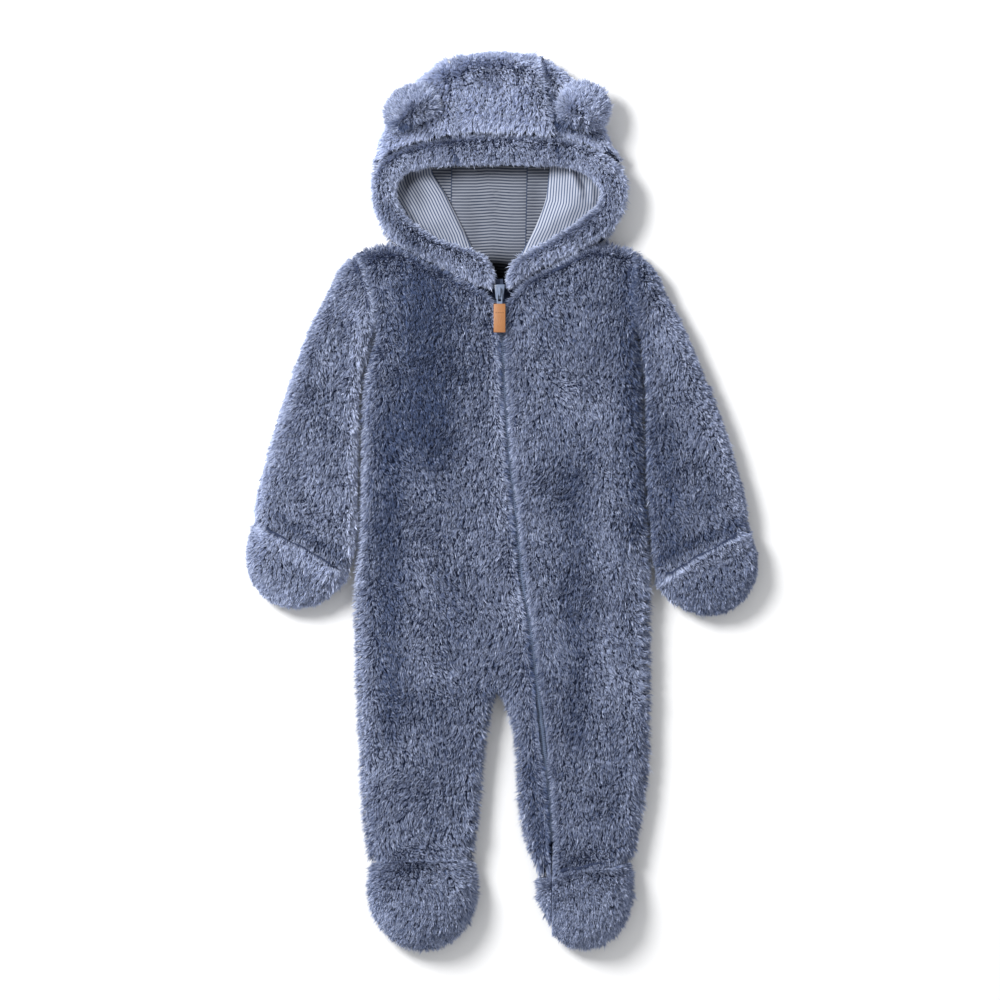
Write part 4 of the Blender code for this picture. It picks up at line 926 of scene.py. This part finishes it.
def stripe_material(name, settings, shade, lines, seams=()):
    """Striped jersey: fine dark lines on a pale ground, with its knit as bump and its seams drawn in; ground and
    lines scaled by painted shade or light, and the Shade attribute's painted shadows darkening colour and
    reflection.
    """
    made, tree, shader = new_material(name)
    across, along = uv_parts(tree, "Cloth")
    wobble = texture(tree, "Noise", 60.0, Detail=2.0).outputs["Fac"]
    slight = maths(tree, "MULTIPLY", maths(tree, "SUBTRACT", wobble, 0.5), 0.25)
    row = maths(tree, "ADD", maths(tree, "DIVIDE", along, settings.pitch), slight)
    thread = 0.0
    for seam in seams:
        beyond = maths(tree, "GREATER_THAN", across, seam * MM)
        row = maths(tree, "ADD", row, maths(tree, "MULTIPLY", beyond, 0.45))
        gap = maths(tree, "ABSOLUTE", maths(tree, "SUBTRACT", across, seam * MM))
        thread = maths(tree, "MAXIMUM", maths(tree, "LESS_THAN", gap, 0.5 * MM), thread)
    aside = maths(tree, "ABSOLUTE", maths(tree, "SUBTRACT", maths(tree, "FRACT", row), 0.5))
    line = tree.nodes.new("ShaderNodeMapRange")
    look(tree, line, Value=aside, From_Min=settings.line / 2 + 0.10, From_Max=settings.line / 2 - 0.06)
    tint = texture(tree, "Noise", 25.0, Detail=3.0).outputs["Fac"]
    ground = clouded(tree, tint, [c * shade for c in settings.pale], 0.88, 1.0)
    colour = mixed(tree, line.outputs["Result"], ground, [c * lines for c in settings.dark])
    if seams:
        colour = mixed(tree, maths(tree, "MULTIPLY", thread, 0.85), colour, settings.dark)
    tone = tree.nodes.new("ShaderNodeAttribute")
    tone.attribute_name = "Shade"
    # The Shade attribute's painted shadows darken the colour and dim the reflection.
    look(tree, shader, Base_Color=mixed(tree, 1.0, colour, tone.outputs["Color"], "MULTIPLY"),
         Specular_IOR_Level=maths(tree, "MULTIPLY", tone.outputs["Fac"], 0.5), Roughness=0.9)
    knit = texture(tree, "Wave", 2200.0, Distortion=1.0)
    bump(tree, shader, knit.outputs["Fac"], 0.25, 0.2 * MM)
    return made


def mapped(obj, u, v):
    """The map of the stripes on a mesh, from a value across and a value along at each vertex."""
    index = np.empty(len(obj.data.loops), int)
    obj.data.loops.foreach_get("vertex_index", index)
    values = np.column_stack([u, v])[index].astype(np.float32).reshape(-1)
    obj.data.uv_layers.new(name="Cloth").data.foreach_set("uv", values)


def shaded(obj, places, shades):
    """A tone at each vertex: one, less what the table's soft shadows take at those X and Y."""
    tone = np.ones(len(places))
    for x, y, wide, tall, depth in shades:
        tone -= depth * np.exp(-((places[:, 0] - x) / wide) ** 2 - ((places[:, 1] - y) / tall) ** 2)
    attribute = obj.data.attributes.new("Shade", "FLOAT_COLOR", "POINT")
    colours = np.column_stack([np.clip(tone, 0.03, 1.2)] * 3 + [np.ones(len(tone))])
    attribute.data.foreach_set("color", colours.reshape(-1))


def seam_shift(y):
    """How far the lining's seams stand to +X at a height on the hood, in millimetres."""
    return SEAM_LEAN * (y - 230)


def make_lining(settings):
    """The striped back of the hood with its two seams, and the two sides that lie over it."""
    # Lit and shaded copies of one jersey: painted shade darkens the back under the brim (ground 0.60, lines 0.7),
    # painted light brightens the side linings (ground 1.1, lines 1.7).
    deep = stripe_material("Striped jersey in painted shade", settings, 0.60, 0.7, SEAMS)
    striped = stripe_material("Striped jersey", settings, 1.1, 1.7)
    places, faces = finer(*upper_side("lining_back"), 4, 1)
    x, y = places[:, 0] / MM, places[:, 1] / MM
    relief = np.zeros(len(places))
    for at, width, rise in LINING_RELIEF:
        relief += rise * np.exp(-((x - at - seam_shift(y)) / width) ** 2)
    places[:, 2] += relief * MM
    back = mesh_object("lining_back_cloth", places, faces, "suit", deep)
    sag = 1.2 * np.exp(-((x + 6) / 9) ** 2) + 0.012 * np.abs(x + 6)
    mapped(back, (x - seam_shift(y)) * MM, (y - sag) * MM)
    shaded(back, np.column_stack([x, y]), BACK_SHADES)
    finish_lining(back, "lining_back", settings)
    for name, line in (("lining_right", LEAF_RIGHT), ("lining_left", LEAF_LEFT)):
        places, faces = finer(*upper_side(name), 3, 4)
        for *run, rise in LEAF_CREASES:
            places[:, 2] += rise * MM * near_run(*run, places)
        leaf = mesh_object(name + "_cloth", places, faces, "suit", striped)
        away = distance_along(line, places)
        mapped(leaf, places[:, 1], away * 1.1 + 0.04 * places[:, 1])
        shaded(leaf, places[:, :2] / MM, LEAF_SHADES)
        finish_lining(leaf, name, settings)
    make_seams(settings)


def finish_lining(obj, name, settings):
    """Gives a piece of lining its wall and hides its node."""
    thicken(obj, "Jersey", settings.wall)
    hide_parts(name)


def tube(points, radius, sides=6):
    """A closed tube along points: its places and triangles."""
    points = np.array(points, float)
    along = unit(np.gradient(points, axis=0))
    across = unit(np.cross(along, (0.0, 0.0, 1.0)))
    up = np.cross(across, along)
    angles = np.linspace(0, 2 * math.pi, sides, endpoint=False)
    size = np.full(len(points), radius)
    size[[0, -1]] *= 0.5
    ring = across[:, None] * np.cos(angles)[None, :, None] + up[:, None] * np.sin(angles)[None, :, None]
    places = (points[:, None] + ring * size[:, None, None]).reshape(-1, 3)
    faces = []
    for k in range(len(points) - 1):
        for i in range(sides):
            a, b = k * sides + i, k * sides + (i + 1) % sides
            faces += [(a, b + sides, b), (a, a + sides, b + sides)]
    last = (len(points) - 1) * sides
    for i in range(1, sides - 1):
        faces += [(0, i, i + 1), (last, last + i + 1, last + i)]
    return places, np.array(faces)


def make_seams(settings):
    """The bound seams of the lining, from the brim to the neck."""
    material, tree, shader = new_material("Seam thread")
    look(tree, shader, Base_Color=settings.dark, Roughness=0.85)
    parts = []
    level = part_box("lining_back")[1][2]
    for at in SEAMS:
        y = np.linspace(284, 190, 48)    # from under the brim to the neck
        x = at + seam_shift(y)
        z = level / MM - 0.35 + 0.05 * np.sin(y * 2.6)
        parts.append(tube(np.column_stack([x, y, z]) * MM, 0.38 * MM))
    seams = mesh_object("lining_seams", *together(parts), "suit", material)


# ---------------------------------------------------------------- zip

def block(middle, along, across, up, length, width, height):
    """A small block with chamfered upper edges, in the directions given."""
    corners = []
    for level, size in ((0.0, 1.0), (0.6, 1.0), (1.0, 0.72)):
        for a, b in ((-1, -1), (1, -1), (1, 1), (-1, 1)):
            corners.append(middle + along * a * length / 2 * size + across * b * width / 2 * size
                           + up * height * level)
    faces = [(0, 2, 1), (0, 3, 2), (8, 9, 10), (8, 10, 11)]
    for ring in (0, 4):
        for i in range(4):
            j = (i + 1) % 4
            faces += [(ring + i, ring + j, ring + j + 4), (ring + i, ring + j + 4, ring + i + 4)]
    return np.array(corners), np.array(faces)


def height_over(nodes, places):
    """Z of the top of the nodes under each place of X and Y."""
    points, faces = together([welded(name) for name in nodes])
    tree = BVHTree.FromPolygons(points.tolist(), faces.tolist())
    found = []
    for x, y in places:
        hit = tree.ray_cast(Vector((x, y, 60 * MM)), Vector((0, 0, -1)))
        found.append(hit[0].z if hit[0] else math.nan)
    return np.array(found)


def make_teeth(settings):
    """The two rows of the coil, closed from the slider to the ankle."""
    line = np.array(ZIP) * MM
    steps = np.concatenate([[0], np.cumsum(np.linalg.norm(np.diff(line, axis=0), axis=1))])
    wanted = np.arange(22 * MM, steps[-1] - 3 * MM, settings.tooth_pitch / 2)
    path = np.column_stack([np.interp(wanted, steps, line[:, 0]), np.interp(wanted, steps, line[:, 1])])
    along = unit(np.gradient(path, axis=0))
    side = np.column_stack([-along[:, 1], along[:, 0]])
    beside = np.where(np.arange(len(path)) % 2 == 0, 1.0, -1.0)[:, None]
    height = height_over(("zip_tape_right", "zip_tape_left"), path + side * beside * 2.2 * MM)
    parts = []
    for place, way, out, level in zip(path, along, side * beside, height):
        if math.isnan(level):
            continue
        middle = np.array((*(place + out * 0.62 * settings.tooth_length / 2), level - 0.1 * MM))
        parts.append(block(middle, np.array((*out, 0.0)), np.array((*way, 0.0)), np.array((0.0, 0.0, 1.0)),
                           settings.tooth_length, settings.tooth_pitch * 0.62, 1.1 * MM))
    material, tree, shader = new_material("Coil")
    speckle = texture(tree, "Noise", 800.0, Detail=2.0).outputs["Fac"]
    look(tree, shader, Base_Color=clouded(tree, speckle, settings.tooth_colour, 0.7, 1.35), Roughness=0.38)
    teeth = mesh_object("zip_teeth", *together(parts), "suit", material, smooth=False)


def make_tapes(settings):
    """The two woven tapes."""
    material, tree, shader = new_material("Woven tape")
    weave = texture(tree, "Wave", 700.0, Distortion=0.6)
    weave.bands_direction = "DIAGONAL"
    woven = weave.outputs["Fac"]
    look(tree, shader, Base_Color=clouded(tree, woven, settings.tape_colour, 0.75, 1.3), Roughness=0.85)
    bump(tree, shader, woven, 0.5, 0.3 * MM)
    for name in ("zip_tape_right", "zip_tape_left"):
        tape = mesh_object(name + "_cloth", *welded(name), "suit", material, smooth=False)
        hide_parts(name)


def hard_copy(name, body, material, bevel, segments=3):
    """A node's own shape with its edges rounded."""
    made = mesh_object(name + "_part", *welded(name), body, material, smooth=False)
    bpy.ops.object.select_all(action="DESELECT")
    bpy.context.view_layer.objects.active = made
    made.select_set(True)
    bpy.ops.object.mode_set(mode="EDIT")
    bpy.ops.mesh.select_all(action="SELECT")
    bpy.ops.mesh.dissolve_limited(angle_limit=math.radians(2))
    bpy.ops.object.mode_set(mode="OBJECT")
    round_off = made.modifiers.new("Edges", "BEVEL")
    round_off.width = bevel
    round_off.segments = segments
    round_off.limit_method = "ANGLE"
    round_off.angle_limit = math.radians(35)
    bpy.ops.object.shade_smooth_by_angle(angle=math.radians(40))
    made.select_set(False)
    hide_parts(name)
    return made


def enamel_material(settings):
    """Satin enamel, worn a little paler in places."""
    material, tree, shader = new_material("Enamel")
    wear = texture(tree, "Noise", 420.0, Detail=4.0).outputs["Fac"]
    look(tree, shader, Base_Color=clouded(tree, wear, settings.enamel, 0.85, 1.25), Roughness=0.36,
         Coat_Weight=0.2)
    bump(tree, shader, wear, 0.15, 0.2 * MM)
    return material


def leather_material(settings):
    """Tan leather with a fine grain and darker pores."""
    material, tree, shader = new_material("Tan leather")
    grain = texture(tree, "Voronoi", 1500.0).outputs["Distance"]
    cloud = texture(tree, "Noise", 180.0, Detail=5.0).outputs["Fac"]
    base = clouded(tree, cloud, settings.leather, 0.82, 1.2)
    pores = maths(tree, "MULTIPLY", maths(tree, "SUBTRACT", 0.5, grain), 0.35)
    look(tree, shader, Base_Color=mixed(tree, pores, base, [c * 0.55 for c in settings.leather]),
         Roughness=maths(tree, "ADD", maths(tree, "MULTIPLY", cloud, 0.2), 0.42))
    bump(tree, shader, grain, 0.35, 0.3 * MM)
    return material


def make_stitches(settings):
    """A row of stitches across the leather tab."""
    low, high = (np.array(corner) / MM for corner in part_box("zip_tab"))
    material, tree, shader = new_material("Waxed thread")
    look(tree, shader, Base_Color=[c * 0.45 for c in settings.leather], Roughness=0.6)
    parts = []
    middle = (low[0] + high[0]) / 2
    y = np.full(5, STITCH_Y)
    arch = 0.10 * np.sin(np.linspace(0, math.pi, 5))
    for start in (-3.4, -1.6, 0.2, 2.0):
        x = np.linspace(start, start + 1.35, 5) + middle
        z = height_over(("zip_tab",), np.column_stack([x, y]) * MM) / MM
        parts.append(tube(np.column_stack([x, y, z + arch - 0.05]) * MM, 0.22 * MM))
    stitches = mesh_object("tab_stitches", *together(parts), "pull", material)


# ---------------------------------------------------------------- operators

class Step:
    """What the steps share: each builds from the scene's settings."""

    def execute(self, context):
        self.build(context.scene.suit)
        return {"FINISHED"}


class SUIT_OT_frame(Step, bpy.types.Operator):
    """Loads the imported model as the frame"""
    bl_idname = "suit.frame"
    bl_label = "Frame"

    def build(self, settings):
        FRAME.update(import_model())
        FRAME["walls"] = all_walls()
        bpy.ops.object.select_all(action="DESELECT")


class SUIT_OT_body(Step, bpy.types.Operator):
    """Builds the two fronts and the back"""
    bl_idname = "suit.body"
    bl_label = "Body"

    def build(self, settings):
        make_cloth(("front_right", "front_left", "back"), settings.pile)


class SUIT_OT_limbs(Step, bpy.types.Operator):
    """Builds the sleeves, hand covers and feet"""
    bl_idname = "suit.limbs"
    bl_label = "Sleeves and feet"

    def build(self, settings):
        make_cloth(("sleeve_right", "sleeve_left", "mitt_right", "mitt_left", "vamp_right", "vamp_left",
                    "sole_right", "sole_left"), settings.pile)


class SUIT_OT_hood(Step, bpy.types.Operator):
    """Builds the hood, its brim and its ears"""
    bl_idname = "suit.hood"
    bl_label = "Hood"

    def build(self, settings):
        make_cloth(("hood_centre", "hood_side_right", "hood_side_left", "hood_brim", "ear_right",
                    "ear_left"), settings.pile)


class SUIT_OT_lining(Step, bpy.types.Operator):
    """Builds the striped lining of the hood"""
    bl_idname = "suit.lining"
    bl_label = "Lining"

    def build(self, settings):
        make_lining(settings.lining)


class SUIT_OT_zip(Step, bpy.types.Operator):
    """Builds the zip: tapes, coil and slider"""
    bl_idname = "suit.zip"
    bl_label = "Zip"

    def build(self, settings):
        make_tapes(settings.zip)
        make_teeth(settings.zip)
        hard_copy("zip_slider", "suit", enamel_material(settings.zip), 0.35 * MM)


class SUIT_OT_pull(Step, bpy.types.Operator):
    """Builds the slider's puller with its leather tab"""
    bl_idname = "suit.pull"
    bl_label = "Pull tab"

    def build(self, settings):
        hard_copy("zip_puller", "pull", bpy.data.materials["Enamel"], 0.2 * MM)
        hard_copy("zip_tab", "pull", leather_material(settings.zip), 0.7 * MM, 4)
        make_stitches(settings.zip)


class SUIT_OT_stage(Step, bpy.types.Operator):
    """Builds the floor, the lamps and the camera"""
    bl_idname = "suit.stage"
    bl_label = "Stage"

    def build(self, settings):
        scene, stage = bpy.context.scene, settings.stage
        bpy.ops.mesh.primitive_plane_add(size=12.0, location=(0, 0, 0))
        floor = bpy.context.object
        floor.name = "floor"
        material, tree, shader = new_material("White floor")
        look(tree, shader, Base_Color=[FLOOR_TONE] * 3, Roughness=0.8, Specular_IOR_Level=0.1)
        floor.data.materials.append(material)
        scene.world = bpy.data.worlds.new("Room")
        scene.world.use_nodes = True
        tree = scene.world.node_tree
        look(tree, tree.nodes["Background"], Color=(0.97, 0.98, 1.0), Strength=stage.sky)
        bpy.ops.object.light_add(type="AREA", location=KEY_PLACE)
        key = bpy.context.object
        key.name = "key"
        key.data.shape = "DISK"
        key.data.size = KEY_SIZE
        key.data.energy = stage.key
        key.rotation_euler = (-key.location).to_track_quat("-Z", "Y").to_euler()
        bpy.ops.object.camera_add(location=(0, 0, stage.distance), rotation=(0, 0, 0))
        scene.camera = bpy.context.object
        scene.camera.name = "camera"
        scene.camera.data.angle = 2 * math.atan(stage.width / 2 / stage.distance)
        scene.camera.data.clip_end = 20
        scene.render.resolution_x = scene.render.resolution_y = 1000
        scene.view_settings.view_transform = "Standard"


class SUIT_PT_panel(bpy.types.Panel):
    """Settings and the steps that build the suit"""
    bl_label = "Pramsuit"
    bl_idname = "SUIT_PT_panel"
    bl_space_type = "VIEW_3D"
    bl_region_type = "UI"
    bl_category = "Pramsuit"

    def draw(self, context):
        settings = context.scene.suit
        for group in (settings.pile, settings.lining, settings.zip, settings.stage):
            box = self.layout.box()
            for name in group.__annotations__:
                box.prop(group, name)
        for operator in STEPS:
            self.layout.operator(operator.bl_idname)


GROUPS = (PileSettings, LiningSettings, ZipSettings, StageSettings, SuitSettings)
STEPS = (SUIT_OT_frame, SUIT_OT_body, SUIT_OT_limbs, SUIT_OT_hood, SUIT_OT_lining, SUIT_OT_zip, SUIT_OT_pull,
         SUIT_OT_stage)


def register():
    """Registers the settings, the steps and the panel."""
    for known in (*GROUPS, *STEPS, SUIT_PT_panel):
        bpy.utils.register_class(known)
    bpy.types.Scene.suit = PointerProperty(type=SuitSettings)


def unregister():
    """Takes them out again."""
    del bpy.types.Scene.suit
    for known in reversed((*GROUPS, *STEPS, SUIT_PT_panel)):
        bpy.utils.unregister_class(known)


def main():
    """Builds the whole scene."""
    register()
    for thing in list(bpy.data.objects):
        bpy.data.objects.remove(thing)
    bpy.ops.suit.frame()
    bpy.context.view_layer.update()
    bpy.ops.suit.body()
    bpy.ops.suit.limbs()
    bpy.ops.suit.hood()
    bpy.ops.suit.lining()
    bpy.ops.suit.zip()
    bpy.ops.suit.pull()
    bpy.ops.suit.stage()


if __name__ == "__main__":
    main()
